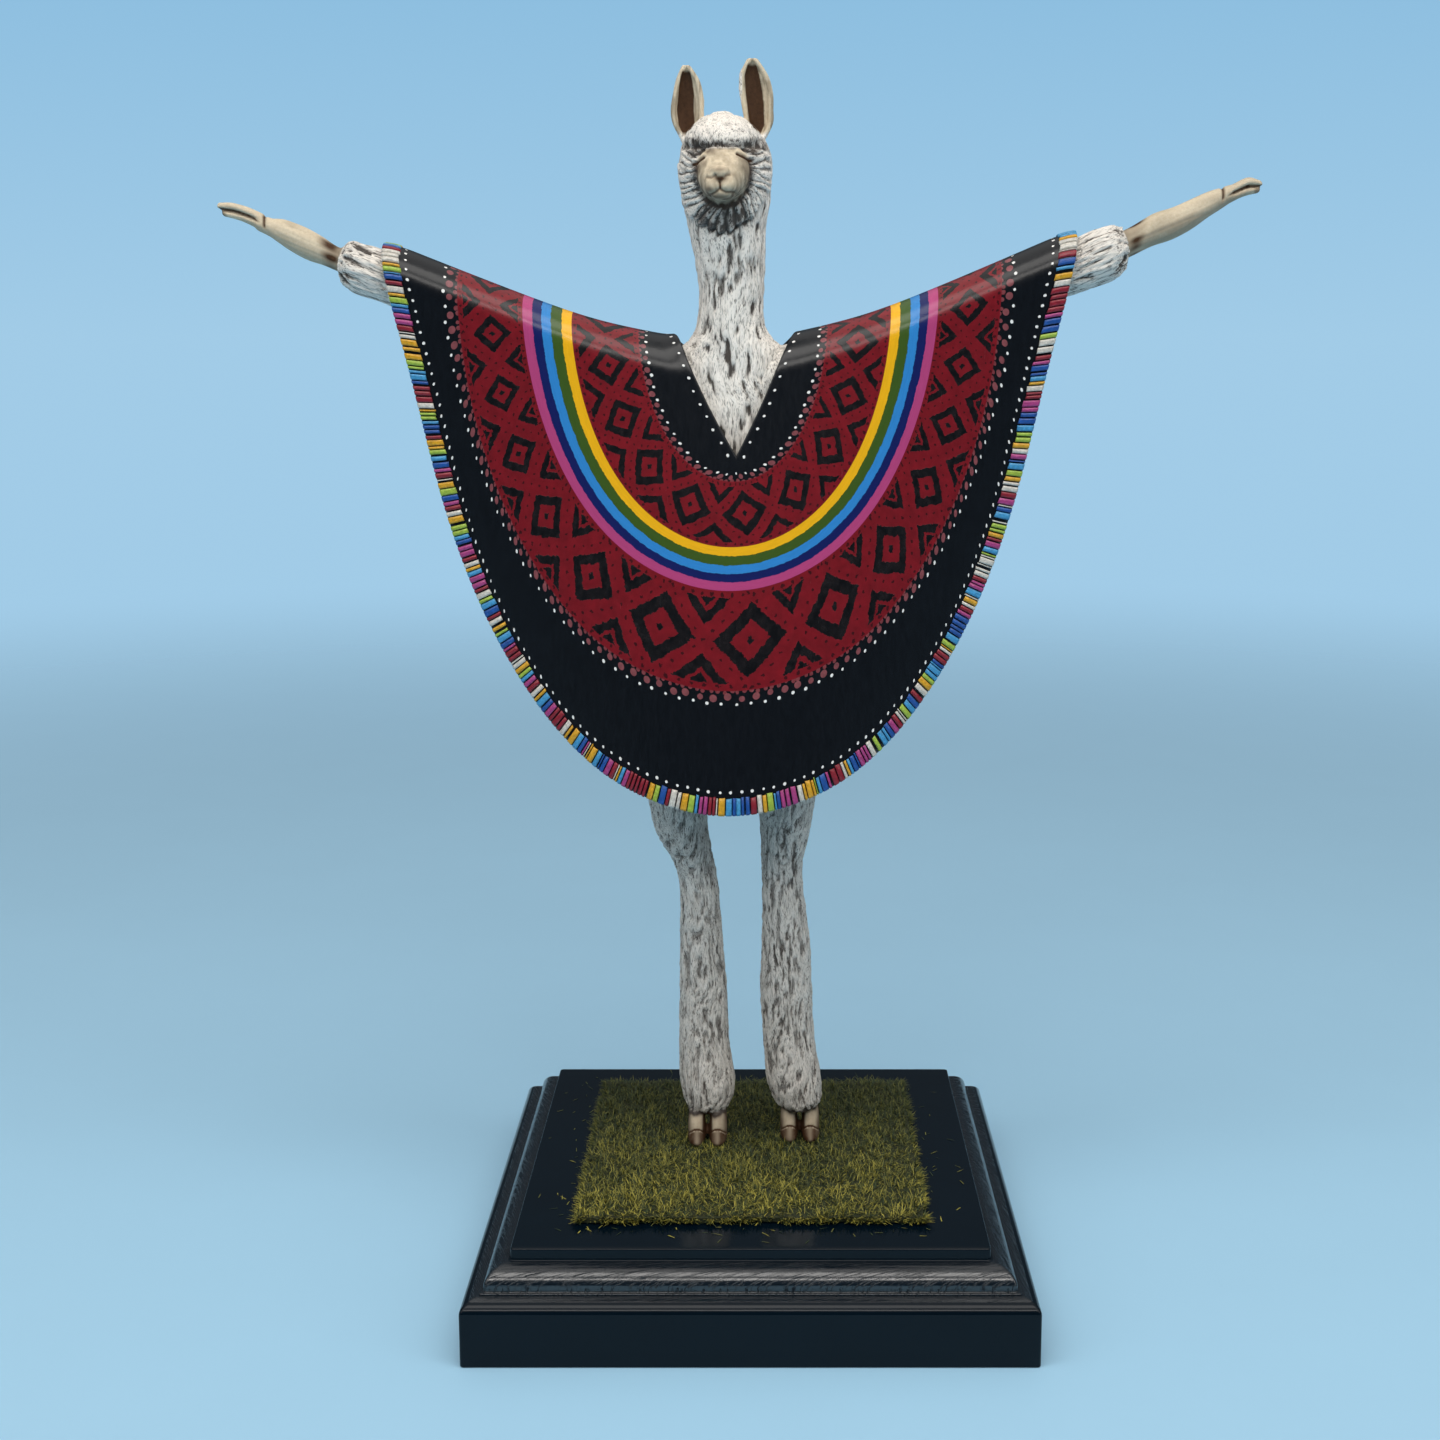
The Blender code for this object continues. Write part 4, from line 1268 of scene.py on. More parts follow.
def hem_spot(place, run, turn, sign, front):
    """Angle, side and face of the hem at a distance along it."""
    column = float(np.interp(place, run, np.arange(len(run))))
    index = min(int(column), len(turn) - 2)
    part = column - index
    middle = min(index + 1, len(turn) - 1)
    return turn[index] + (turn[index + 1] - turn[index]) * part, sign[middle], front[middle]


def block_rings(random, place, length, hem):
    """Rings of points along one block, with a swell, reach and slant of its own."""
    run, *columns = hem
    steps = max(1, round(length / BLOCK_STEP))
    round_share = min(0.3, BLOCK_ROUND / length)
    shares = [0.0, *np.linspace(round_share, 1.0 - round_share, steps + 1), 1.0]
    swell = random.uniform(-0.10, 0.10) * MM
    longer = random.uniform(-0.30, 0.25) * MM
    slant = random.uniform(-0.25, 0.25) * MM
    rings = []
    for share in shares:
        angle, side, facing = hem_spot(place + length * share, run, *columns)
        ring = []
        for inset, lift in BLOCK_SECTION:
            height = lift * MM + (swell if lift > 0.2 else 0.0)
            reach = inset * MM + (longer + slant * (share - 0.5) if inset > 4.0 else 0.0)
            if share in (0.0, 1.0):
                height = min(height, 0.1 * MM) if lift > 0.0 else max(height, -1.5 * MM)
                reach = max(reach, 0.0)
            across, drop = hem_edge(np.array(angle), reach)
            ring.append(placed(across, drop, side, bool(facing), height).tolist())
        rings.append(ring)
    return rings


def add_fringe():
    """Line the hem with painted blocks of random length that wrap its edge."""
    random = np.random.default_rng(FRINGE_SEED)
    turn, sign, front = round_trip(quarter_turns(FRINGE_COLUMNS))
    run = loop_length(placed(*hem_edge(turn, 0.0), sign, front))
    points = []
    faces = []
    kinds = []
    width = len(BLOCK_SECTION)
    for place, length, kind in fringe_plan(random, run[-1]):
        rings = block_rings(random, place, length, (run, turn, sign, front))
        base = len(points)
        last = base + (len(rings) - 1) * width
        points += [point for ring in rings for point in ring]
        for low in range(base, last, width):
            for index in range(width):
                after = (index + 1) % width
                faces.append((low + index, low + after, low + width + after, low + width + index))
        faces.append(tuple(base + index for index in reversed(range(width))))
        faces.append(tuple(last + index for index in range(width)))
        kinds += [kind] * ((len(rings) - 1) * width + 2)
    mesh = bpy.data.meshes.new("fringe_blocks")
    mesh.from_pydata(points, [], faces)
    mesh.shade_smooth()
    mesh.polygons.foreach_set("material_index", kinds)
    face_outward(mesh)
    finishes = [fringe_finish("fringe_" + name, colour) for name, colour in FRINGE_COLOURS.items()]
    return add_piece("fringe_blocks", mesh, "painted_cloth", finishes)


# Llama


def spline_stations(stations, rings):
    """Evenly spaced stations on a smooth curve through the given ones."""
    table = np.array(stations)
    last = len(table) - 1
    place = np.linspace(0.0, last, rings)
    index = np.minimum(place.astype(int), last - 1)
    part = (place - index)[:, None]
    before = table[np.maximum(index - 1, 0)]
    start, end = table[index], table[index + 1]
    after = table[np.minimum(index + 2, last)]
    slope_in = (end - before) / 2.0
    slope_out = (after - start) / 2.0
    cubic = 2.0 * start - 2.0 * end + slope_in + slope_out
    square = 3.0 * end - 3.0 * start - 2.0 * slope_in - slope_out
    return ((cubic * part + square) * part + slope_in) * part + start


def station_at(stations, height):
    """Centre x and the half width of a form at each height."""
    table = np.array(stations)
    order = np.argsort(table[:, 2])
    return [np.interp(height, table[order, 2], table[order, column]) for column in (0, 3)]


def oval_section(wide, deep, sides=44):
    """Offsets of an oval section."""
    turn = TAU * np.arange(sides) / sides
    return wide * np.cos(turn), deep * np.sin(turn)


def ear_section(wide, deep, sides=22):
    """Offsets of an ear's section: round behind, hollow in front, with a rolled rim."""
    turn = math.pi * np.arange(sides + 1) / sides
    back = (wide * np.cos(turn), deep * np.sin(turn))
    rim = min(EAR_RIM, 0.42 * wide)
    across = np.linspace(-1.0, 1.0, 2 * sides + 1)[1:-1] * wide
    edge = np.clip((np.abs(across) - (wide - 2.0 * rim)) / (2.0 * rim), 0.0, 1.0)
    roll = -rim * np.sqrt(np.maximum(0.0, 1.0 - (2.0 * edge - 1.0) ** 2))
    inner = np.abs(across) / max(wide - 2.0 * rim, 0.1)
    hollow = (deep * 0.55) * np.sqrt(np.maximum(0.0, 1.0 - inner ** 2))
    front = np.where(edge > 0.0, roll, hollow)
    return np.concatenate([back[0], across]), np.concatenate([back[1], front])


class Clay:
    """Closed forms that overlap, gathered to be melted into one surface. Millimetres."""

    def __init__(self):
        self.points = []
        self.faces = []

    def loft(self, stations, axis, bulge, rings=40, section=oval_section):
        """Add a form with sections across the X, Y or Z axis and domed ends."""
        table = spline_stations(stations, rings)
        rows = []
        for x, y, z, wide, deep in table:
            first, second = section(max(wide, 0.2), max(deep, 0.2))
            flat = np.zeros_like(first)
            layouts = {"X": (flat, first, second), "Y": (first, flat, second), "Z": (first, second, flat)}
            rows.append(np.stack(layouts[axis], 1) + (x, y, z))
        domes = []
        for row, inner in ((rows[0], rows[1]), (rows[-1], rows[-2])):
            middle = row.mean(axis=0)
            outward = middle - inner.mean(axis=0)
            outward /= np.linalg.norm(outward)
            radius = np.linalg.norm(row - middle, axis=1).min()
            turns = np.arange(1, DOME_STEPS) * math.pi / 2.0 / DOME_STEPS
            reach = outward * radius * bulge
            dome = [middle + (row - middle) * math.cos(t) + reach * math.sin(t) for t in turns]
            domes.append((dome, middle + reach))
        rows = domes[0][0][::-1] + rows + domes[1][0]
        base = len(self.points)
        sides = len(rows[0])
        for row in rows:
            self.points += row.tolist()
        self.points += [domes[0][1].tolist(), domes[1][1].tolist()]
        for number in range(len(rows) - 1):
            low = base + number * sides
            for index in range(sides):
                after = (index + 1) % sides
                self.faces.append((low + index, low + after, low + sides + after, low + sides + index))
        top = base + (len(rows) - 1) * sides
        start, end = base + len(rows) * sides, base + len(rows) * sides + 1
        for index in range(sides):
            after = (index + 1) % sides
            self.faces.append((base + after, base + index, start))
            self.faces.append((top + index, top + after, end))

    def melted(self, name, voxel, rounds):
        """Melt the forms into one even surface and smooth their joints."""
        mesh = bpy.data.meshes.new(name)
        mesh.from_pydata((np.array(self.points) * MM).tolist(), [], self.faces)
        holder = bpy.data.objects.new(name, mesh)
        bpy.context.scene.collection.objects.link(holder)
        remesh = holder.modifiers.new("melt", "REMESH")
        remesh.mode = "VOXEL"
        remesh.voxel_size = voxel * MM
        smooth = holder.modifiers.new("soften", "SMOOTH")
        smooth.factor = 0.5
        smooth.iterations = rounds
        return baked(holder)


def baked(holder):
    """Mesh that an object's modifiers give; the object goes."""
    graph = bpy.context.evaluated_depsgraph_get()
    result = bpy.data.meshes.new_from_object(
        holder.evaluated_get(graph), preserve_all_data_layers=True, depsgraph=graph)
    mesh = holder.data
    name = mesh.name
    bpy.data.objects.remove(holder)
    bpy.data.meshes.remove(mesh)
    result.name = name
    return result


def thinned(mesh, share):
    """The same surface with a share of its triangles, which stay closest where it bends."""
    holder = bpy.data.objects.new(mesh.name, mesh)
    bpy.context.scene.collection.objects.link(holder)
    thin = holder.modifiers.new("thin", "DECIMATE")
    thin.ratio = share
    return baked(holder)


def hashed(cells, seed):
    """Random number from 0 to 1 of each whole-number cell."""
    x, y, z = cells.T
    mixed = (x * 73856093) ^ (y * 19349663) ^ (z * 83492791) ^ (seed * 961748927)
    for shift, factor in ((13, 1274126177), (15, 668265263)):
        mixed = ((mixed ^ (mixed >> shift)) * factor) & 0x7FFFFFFF
    return ((mixed >> 9) & 0xFFFF) / 65535.0


def drift(points, cell, seed=0):
    """Smooth noise from -1 to 1, with cells of a size in millimetres along each axis."""
    scaled = points / np.array(cell)
    base = np.floor(scaled).astype(np.int64)
    part = scaled - base
    ease = part * part * (3.0 - 2.0 * part)
    total = np.zeros(len(points))
    for corner in range(8):
        step = np.array([corner & 1, corner >> 1 & 1, corner >> 2])
        weight = np.prod(np.where(step == 1, ease, 1.0 - ease), axis=1)
        total += weight * hashed(base + step, seed)
    return 2.0 * total - 1.0


def furrow(points, cell, seed, width):
    """Narrow grooves between strands: 1 in a groove's middle and 0 away from it."""
    return np.clip(1.0 - np.abs(drift(points, cell, seed)) / width, 0.0, 1.0)


def dashes(points, cell, seed, cover):
    """Short separate grooves, as long as a cell: 1 in a groove and 0 between them."""
    return smooth_step(-drift(points, cell, seed), cover, cover + 0.30)


def smooth_step(value, low, high):
    """Ease from 0 below one limit to 1 above the other."""
    part = np.clip((value - low) / (high - low), 0.0, 1.0)
    return part * part * (3.0 - 2.0 * part)


def line_distance(x, z, line):
    """Distance from a line of points on the face."""
    best = np.full(len(x), 1e9)
    for (x0, z0), (x1, z1) in zip(line, line[1:]):
        length = (x1 - x0) ** 2 + (z1 - z0) ** 2
        part = np.clip(((x - x0) * (x1 - x0) + (z - z0) * (z1 - z0)) / length, 0.0, 1.0)
        best = np.minimum(best, np.hypot(x - x0 - part * (x1 - x0), z - z0 - part * (z1 - z0)))
    return best


class Carving:
    """A melted form with its points, and what carving, paint and painted shade do to each. Millimetres."""

    def __init__(self, mesh):
        self.mesh = mesh
        count = len(mesh.vertices)
        points = np.empty(count * 3)
        mesh.vertices.foreach_get("co", points)
        self.points = points.reshape(-1, 3) / MM
        normals = np.empty(count * 3)
        mesh.vertex_normals.foreach_get("vector", normals)
        self.normals = normals.reshape(-1, 3)
        self.raised = np.zeros(count)
        self.wash = np.zeros(count)
        self.skin = np.zeros(count)
        self.brown = np.zeros(count)
        self.flow = self.points.copy()

    def fur(self, flow, share, depths, seed, ink=1.0, start=0.20):
        """Raise strands along the flow over a share of the form, with dark paint between them."""
        patch = np.clip(0.80 + 0.6 * drift(flow, (5.0, 5.0, 1.6), seed + 9), 0.2, 1.2)
        coarse = drift(flow, (1.5, 1.5, 0.85), seed)
        middle = drift(flow, (0.85, 0.85, 0.55), seed + 1)
        fine = drift(flow, (0.5, 0.5, 0.40), seed + 2)
        height = 0.55 * coarse + 0.45 * middle + 0.25 * fine
        between = smooth_step(-height, start, start + 0.32)
        deep, cut = depths
        self.raised += share * (deep * 1.5 * height - cut * 1.6 * between)
        self.wash += share * ink * (patch * 0.95 * between + 0.16 * smooth_step(-height, -0.15, 0.3))
        choose = share > 0.5
        self.flow[choose] = flow[choose]

    def stain_and_shade(self, mask):
        """Paint brown where a mask is stronger than the brown already there: real stains, and also painted
        shade.
        """
        self.brown = np.maximum(self.brown, mask)

    def groove(self, line, depth, width, where, brown=0.0):
        """Press a line into the form from the front, with brown paint in it."""
        x, _, z = self.points.T
        near = bell(line_distance(x, z, line), width) * where
        self.raised -= depth * near
        self.stain_and_shade(brown * near)

    def finish(self, name, material, kept=1.0):
        """Move the points, store the paint masks and add the piece with a share of its triangles."""
        moved = self.points + self.normals * self.raised[:, None]
        self.mesh.vertices.foreach_set("co", (moved * MM).reshape(-1))
        store(self.mesh, wash=self.wash, skin=self.skin, brown=self.brown)
        layer = self.mesh.attributes.new("flow", "FLOAT_VECTOR", "POINT")
        layer.data.foreach_set("vector", self.flow.reshape(-1))
        self.mesh.update()
        mesh = thinned(self.mesh, kept) if kept < 1.0 else self.mesh
        mesh.shade_smooth()
        return add_piece(name, mesh, "white_fur", [material], "llama")


def down_flow(points):
    """Fur that hangs: strands run down and sway a little."""
    sway = np.stack([
        1.5 * drift(points, (8.0, 8.0, 11.0), 21) + 0.4 * drift(points, (3.0, 3.0, 4.0), 22),
        1.5 * drift(points, (8.0, 8.0, 11.0), 23),
        np.zeros(len(points)),
    ], 1)
    return (points + sway) * (1.0, 1.0, 1.0 / FUR_STRETCH)


def arm_flow(points):
    """Fur of a cuff: strands run along the arm."""
    sway = 0.7 * drift(points, (7.0, 4.0, 4.0), 31)
    along = points[:, 0] / (1.6 * FUR_STRETCH)
    return np.stack([points[:, 1] + sway, points[:, 2] - 0.42 * np.abs(points[:, 0]), along], 1)


def ruff_flow(points):
    """Wool round the face: strands run outward from it."""
    across = points[:, 0] - FACE_MIDDLE[0]
    up = points[:, 2] - FACE_MIDDLE[1]
    turn = np.arctan2(across, -up)
    radius = np.hypot(across, up)
    swirl = turn + 0.03 * (radius - 9.0)
    return np.stack([swirl * 10.0, points[:, 1] * 0.6, radius / (0.6 * FUR_STRETCH)], 1)


class Head(Carving):
    """The head and neck, with masks from 0 to 1 of their regions."""

    def __init__(self, mesh):
        super().__init__(mesh)
        x, y, z = self.points.T
        self.across, self.up = x - FACE_MIDDLE[0], z - FACE_MIDDLE[1]
        self.radius = np.hypot(self.across, self.up)
        self.oval = np.hypot(self.across / FACE_HALF[0], self.up / FACE_HALF[1])
        self.ear = smooth_step(z, 317.0, 318.5) * (np.abs(x + 7.8) > 5.2)
        self.ear *= np.hypot(x + 7.7, (z - 311.0) * 0.92) > 11.0
        self.face = (1.0 - smooth_step(self.oval, 0.93, 1.03)) * smooth_step(FRINGE_EDGE - z, 0.0, 0.5)
        self.face *= smooth_step(-y, -1.5, 0.5)
        self.cap = smooth_step(z, FRINGE_EDGE - 0.3, FRINGE_EDGE + 0.3) * (1.0 - self.ear)
        self.muzzle = smooth_step(-y, 4.0, 6.0) * self.face


def carve_wool(head):
    """Fur of the neck and the cap, the ruff's locks round the face with a groove under them, painted shade
    under the ruff, and a beard partly darkened as painted shade under the chin.
    """
    y = head.points[:, 1]
    flow = ruff_flow(head.points)
    phase = flow[:, 0] / RUFF_LOCK + 0.6 * drift(flow, (2.6, 3.0, 1.0), 5)
    split = np.abs(2.0 * (phase - np.floor(phase)) - 1.0)
    lock = np.floor(phase).astype(np.int64)
    longer = hashed(np.stack([lock, lock * 0, lock * 0], 1), 6)
    lean = np.maximum(0.0, -head.up / np.maximum(head.radius, 0.1)) ** 3
    rim = RUFF_RADIUS - 0.9 + 2.2 * lean + 1.9 * longer * (1.0 - split ** 2)
    wool = (1.0 - head.face) * (1.0 - head.cap) * (1.0 - head.ear)
    ruff = (1.0 - smooth_step(head.radius, rim - 0.3, rim + 0.3)) * smooth_step(-y, -5.0, -2.0) * wool
    neck = wool * (1.0 - ruff)
    hanging = down_flow(head.points)
    head.fur(hanging, neck, (0.34, 0.16), 1)
    head.fur(flow, ruff, (0.14, 0.12), 2, 0.35)
    head.fur(hanging * (1.0, 1.0, 2.2), head.cap, (0.16, 0.10), 3, 0.35)
    head.raised += ruff * (0.80 - 0.60 * split ** 3)
    head.wash += ruff * smooth_step(split, 0.62, 0.97) * (0.50 + 0.50 * longer)
    # The beard under the chin gets a dark coat that is partly painted shade under the chin
    beard = ruff * smooth_step(lean, 0.40, 0.75)
    strands = dashes(head.points, (0.8, 1.2, 2.6), 45, -0.15)
    head.wash += beard * (0.52 + 0.40 * strands)
    head.raised -= 0.18 * beard * strands
    # Painted shade below the ruff, darker towards the bottom, in the groove under it
    under = bell(head.radius - rim - 0.5, 0.7) * neck * smooth_step(-y, -2.0, 2.5)
    head.raised -= 0.45 * under
    head.wash += under * (0.30 + 0.75 * lean)


def paint_cap_edge(head):
    """Dark ragged wool along the cap's lower edge, and painted shade at the outer corners of the eyes."""
    _, y, z = head.points.T
    ragged = drift(head.points, (1.1, 2.0, 2.4), 41) + 0.7 * drift(head.points, (0.55, 1.0, 1.4), 42)
    top = 314.3 + 1.3 * smooth_step(np.abs(head.across), 4.0, 8.0)
    band = smooth_step(top - z - 0.9 * ragged, -0.5, 0.7) * head.cap * smooth_step(-y, -6.5, -1.0)
    head.wash += band * np.clip(0.72 + 0.45 * ragged, 0.15, 1.0)
    head.raised -= 0.14 * band * (ragged > 0.1)
    # Painted shade at the outer corners of the eyes, under the cap's edge
    socket = bell(np.abs(head.across) - 7.9, 1.2) * bell(head.up - 5.3, 1.6) * smooth_step(-y, -2.0, 1.0)
    head.wash += 0.8 * socket * (1.0 - head.cap)


def carve_face(head):
    """The groove round the bare face, its streaked skin, and the lines of nose and mouth."""
    _, y, z = head.points.T
    edge = bell(head.oval - 1.0, 0.06) * (z < FRINGE_EDGE) * smooth_step(-y, -1.0, 1.0)
    head.raised -= 0.65 * edge
    head.wash += 0.65 * edge
    streaks = drift(head.points, (1.0, 1.0, 3.2), 43) + 0.6 * drift(head.points, (0.6, 0.6, 1.2), 44)
    cheek = smooth_step(head.oval, 0.50, 0.98) * head.face
    head.wash += cheek * np.clip(0.36 + 0.55 * streaks, 0.0, 0.80)
    head.stain_and_shade(head.face * np.clip(0.16 + 0.22 * streaks + 0.26 * cheek, 0.0, 0.6))
    for line, depth, width, brown in FACE_LINES:
        head.groove(line, depth, width, head.muzzle, brown)


def carve_eyes(head):
    """Raised pale lids over dark slits, with a dark crease above each that is also painted shade under the
    cap's edge.
    """
    x, y, z = head.points.T
    front = smooth_step(-y, 0.5, 2.0)
    for slit in EYE_SLITS:
        lid = [(end_x, end_z + LID_RISE) for end_x, end_z in slit]
        brow = [(end_x, end_z + 2.0 * LID_RISE + 0.3) for end_x, end_z in slit]
        on_lid = bell(line_distance(x, z, lid), 0.62) * front
        head.groove(lid, -0.38, 0.75, front)
        head.wash *= 1.0 - on_lid
        head.brown *= 1.0 - on_lid
        # Painted shade: a dark line just under the cap's edge, above the lid
        head.wash += 0.75 * bell(line_distance(x, z, brow), 0.35) * front * (1.0 - head.cap)
        head.groove(slit, 0.60, 0.36, front, 1.0)


def carve_lips(head):
    """Full lips, and brown stains on the muzzle."""
    x, _, z = head.points.T
    for middle_x, middle_z in LIP_LOBES:
        head.raised += 0.6 * bell(np.hypot(x - middle_x, z - middle_z), 1.5) * head.muzzle
    for brown, (middle_x, middle_z), (wide, tall) in FACE_STAINS:
        head.stain_and_shade(brown * head.muzzle * bell(x - middle_x, wide) * bell(z - middle_z, tall))


def ear_hollows(head):
    """Mask of the hollows in front of both ears."""
    x, _, z = head.points.T
    hollow = np.zeros(len(x))
    for stations in (LEFT_EAR, RIGHT_EAR):
        middle, wide = station_at(stations, z)
        off = np.abs(x - middle + 0.12 * wide)
        inside = smooth_step(0.52 * wide - off, -0.15, 0.25) * smooth_step(stations[-1][2] - z, 0.6, 2.2)
        inside *= off < wide + 1.0
        hollow = np.maximum(hollow, inside * smooth_step(-head.normals[:, 1], -0.1, 0.25))
    return hollow


def paint_ears(head):
    """Brown hollows and paler backs of the ears, with a fine grain up them."""
    hollow = ear_hollows(head)
    grain = dashes(head.points * (1.0, 1.0, 0.14), (0.7, 0.7, 0.7), 51, 0.10)
    head.stain_and_shade(head.ear * hollow * (1.0 - 0.12 * grain))
    head.stain_and_shade(head.ear * (1.0 - hollow) * (0.10 + 0.30 * grain))
    head.raised -= 0.14 * head.ear * grain * hollow
    head.wash *= 1.0 - 0.85 * head.ear


def add_head_and_neck(material):
    """Carve the head, the ears and the long neck."""
    clay = Clay()
    clay.loft([row for row in TRUNK if row[2] > NECK_FOOT], "Z", 0.4, 130)
    clay.loft(LEFT_EAR, "Z", 0.8, 60, ear_section)
    clay.loft(RIGHT_EAR, "Z", 0.8, 60, ear_section)
    clay.loft(MUZZLE, "Y", 0.5, 30)
    clay.loft(NOSE, "Y", 0.4, 12)
    clay.loft(WOOL_CAP, "Z", 0.4, 30)
    head = Head(clay.melted("llama_head_and_neck", FINE_VOXEL, 3))
    head.skin = np.maximum(head.face, head.ear)
    carve_wool(head)
    paint_cap_edge(head)
    carve_face(head)
    carve_eyes(head)
    carve_lips(head)
    paint_ears(head)
    return head.finish("llama_head_and_neck", material, HEAD_KEPT)


def add_body(material):
    """Carve the torso and the arms that the poncho hides."""
    clay = Clay()
    rows = [row for row in TRUNK if row[2] < BODY_TOP]
    insets = np.interp([row[2] for row in rows], (197.0, 226.0), (0.0, 1.2))
    clay.loft([(*row[:3], row[3] - inset, row[4] - inset) for row, inset in zip(rows, insets)], "Z", 0.3, 50)
    clay.loft(arm_stations(-1.0, LEFT_CUFF[:2]), "X", 0.3, 40)
    clay.loft(arm_stations(1.0, RIGHT_CUFF[:2]), "X", 0.3, 40)
    carving = Carving(clay.melted("llama_body", BODY_VOXEL, 2))
    x, _, z = carving.points.T
    inside = smooth_step(np.abs(x + 6.0), 10.0, 20.0) * smooth_step(z, 240.0, 246.0)
    carving.fur(down_flow(carving.points), 1.0 - inside, (0.30, 0.0), 4)
    carving.fur(arm_flow(carving.points), inside, (0.25, 0.0), 5)
    carving.raised -= 0.25
    return carving.finish("llama_body", material)


def carve_leg_wool(carving, ankle, seed):
    """Shaggy wool with a flared ragged hem, folds at the knee, painted shade under the hem's flare, and
    painted shade that darkens the wool, most high up under the poncho.
    """
    x, y, z = carving.points.T
    hem = ankle[2] - 0.8
    ragged = 0.8 * drift(carving.points, (1.4, 1.4, 30.0), seed + 60)
    carving.skin = 1.0 - smooth_step(z + ragged, hem - 0.3, hem + 0.3)
    wool = 1.0 - carving.skin
    carving.fur(down_flow(carving.points) * (1.9, 1.9, 1.45), wool, (0.26, 0.14), seed, 0.60, 0.02)
    flare = bell(z - hem - 1.2, 2.0) * wool
    carving.raised += 0.35 * flare
    reach = np.hypot(x - ankle[0], y - ankle[1] + 1.0)
    # Painted shade under the flared hem: a dark ragged line above the hoof, and darker wool low on the hem
    carving.wash += 0.95 * bell(z + ragged - hem, 0.65) * smooth_step(reach, 2.0, 4.0)
    carving.wash += 0.50 * smooth_step(hem + 2.6 - z + 1.6 * ragged, 0.0, 3.0) * wool
    folds = bell(z - KNEE_HEIGHT, 10.0) * furrow(carving.points, (2.2, 2.2, 3.0), seed + 61, 0.22) * wool
    carving.wash += 0.25 * folds
    carving.raised -= 0.25 * folds
    # Painted shade: the whole wool is darkened, and more so high up under the poncho
    carving.wash += (0.15 + 0.26 * smooth_step(z, 136.0, 150.0)) * wool


def carve_foot(carving, ankle, middle, seed):
    """Brown hide that partly stands for painted shade and is darker on the toes' outer sides, dark nails
    with a line round each, and painted shade in the cleft between the toes.
    """
    x, y, z = carving.points.T
    gap = np.abs(x - middle)
    before = smooth_step(-(y - ankle[1]), 0.5, 2.5)
    cleft = np.exp(-(gap / 1.35) ** 4) * smooth_step(-(z - 38.3), 0.0, 1.0)
    toe_x = np.abs(gap - FOOT_SPREAD)
    nail_top = 33.2 - 0.30 * toe_x ** 2
    nail = smooth_step(nail_top - z, -0.25, 0.25) * before
    line = bell(z - nail_top - 0.35, 0.35) * before
    tint = 0.5 + 0.5 * drift(carving.points, (1.6, 1.6, 3.0), seed + 64)
    # The hide's brown stands partly for painted shade on the feet, and is darker on the outer sides of the
    # toes
    hide = 0.24 + 0.22 * tint + 0.35 * smooth_step(gap, 4.2, 5.8)
    carving.stain_and_shade(hide * carving.skin)
    carving.stain_and_shade((0.04 + 0.13 * tint) * (1.0 - carving.skin))
    carving.stain_and_shade((0.70 + 0.14 * tint) * nail * (1.0 - 0.25 * bell(toe_x, 0.7)))
    carving.stain_and_shade(0.95 * line)
    # Painted shade: the cleft between the toes is painted dark brown
    carving.stain_and_shade(cleft)
    carving.wash = np.maximum(carving.wash, 0.95 * cleft)
    carving.raised -= 0.20 * line - 0.10 * nail + 0.3 * cleft


def add_leg(name, stations, foot, seed, material):
    """Carve one leg with its shaggy hem over a cloven foot."""
    clay = Clay()
    clay.loft(stations, "Z", 0.4, 90)
    for toe in foot_toes(foot):
        clay.loft(toe, "Z", 0.35, 26)
    carving = Carving(clay.melted(name, LEG_VOXEL, 3))
    carve_leg_wool(carving, stations[-1], seed)
    carve_foot(carving, stations[-1], foot[0], seed)
    return carving.finish(name, material, LEG_KEPT)


def carve_cuff(carving, along, reach, seed):
    """Wool of the cuff as far as its end, where the hand comes out."""
    opening = np.maximum(smooth_step(along, 0.9, 1.3), smooth_step(-reach, -4.6, -4.2))
    carving.skin = smooth_step(along, -0.9, -0.4) * opening
    wool = 1.0 - carving.skin
    carving.fur(arm_flow(carving.points), wool, (0.46, 0.26), seed, 1.2, 0.06)
    carving.raised += 0.3 * bell(along + 2.2, 1.8) * wool
    carving.wash += 0.14 * wool


def paint_hand(carving, along, below, seed, shade):
    """Brown wrist, mottled skin with painted shade that darkens it below, and a fine grain along the hand.
    """
    flow = arm_flow(carving.points)
    skin = carving.skin
    mottle = drift(flow, (1.5, 1.5, 0.6), seed + 1)
    grain = furrow(flow, (1.6, 1.6, 1.6), seed + 2, 0.35)
    shaded = smooth_step(below, -2.5, 2.5)
    carving.stain_and_shade(bell(along - 3.0, 3.0) * skin * np.clip(0.74 + 0.40 * mottle, 0.0, 1.0))
    # Painted shade: the hand's underside is painted browner, as far as the shade given for this hand
    carving.stain_and_shade(skin * shade * np.clip(0.45 + 0.55 * shaded + 0.25 * mottle, 0.0, 1.0))
    carving.stain_and_shade(0.30 * grain * skin * np.clip(0.5 + mottle, 0.0, 1.0))
    carving.wash += 0.45 * bell(along - 0.2, 0.9) * skin
    carving.raised -= 0.12 * grain * skin


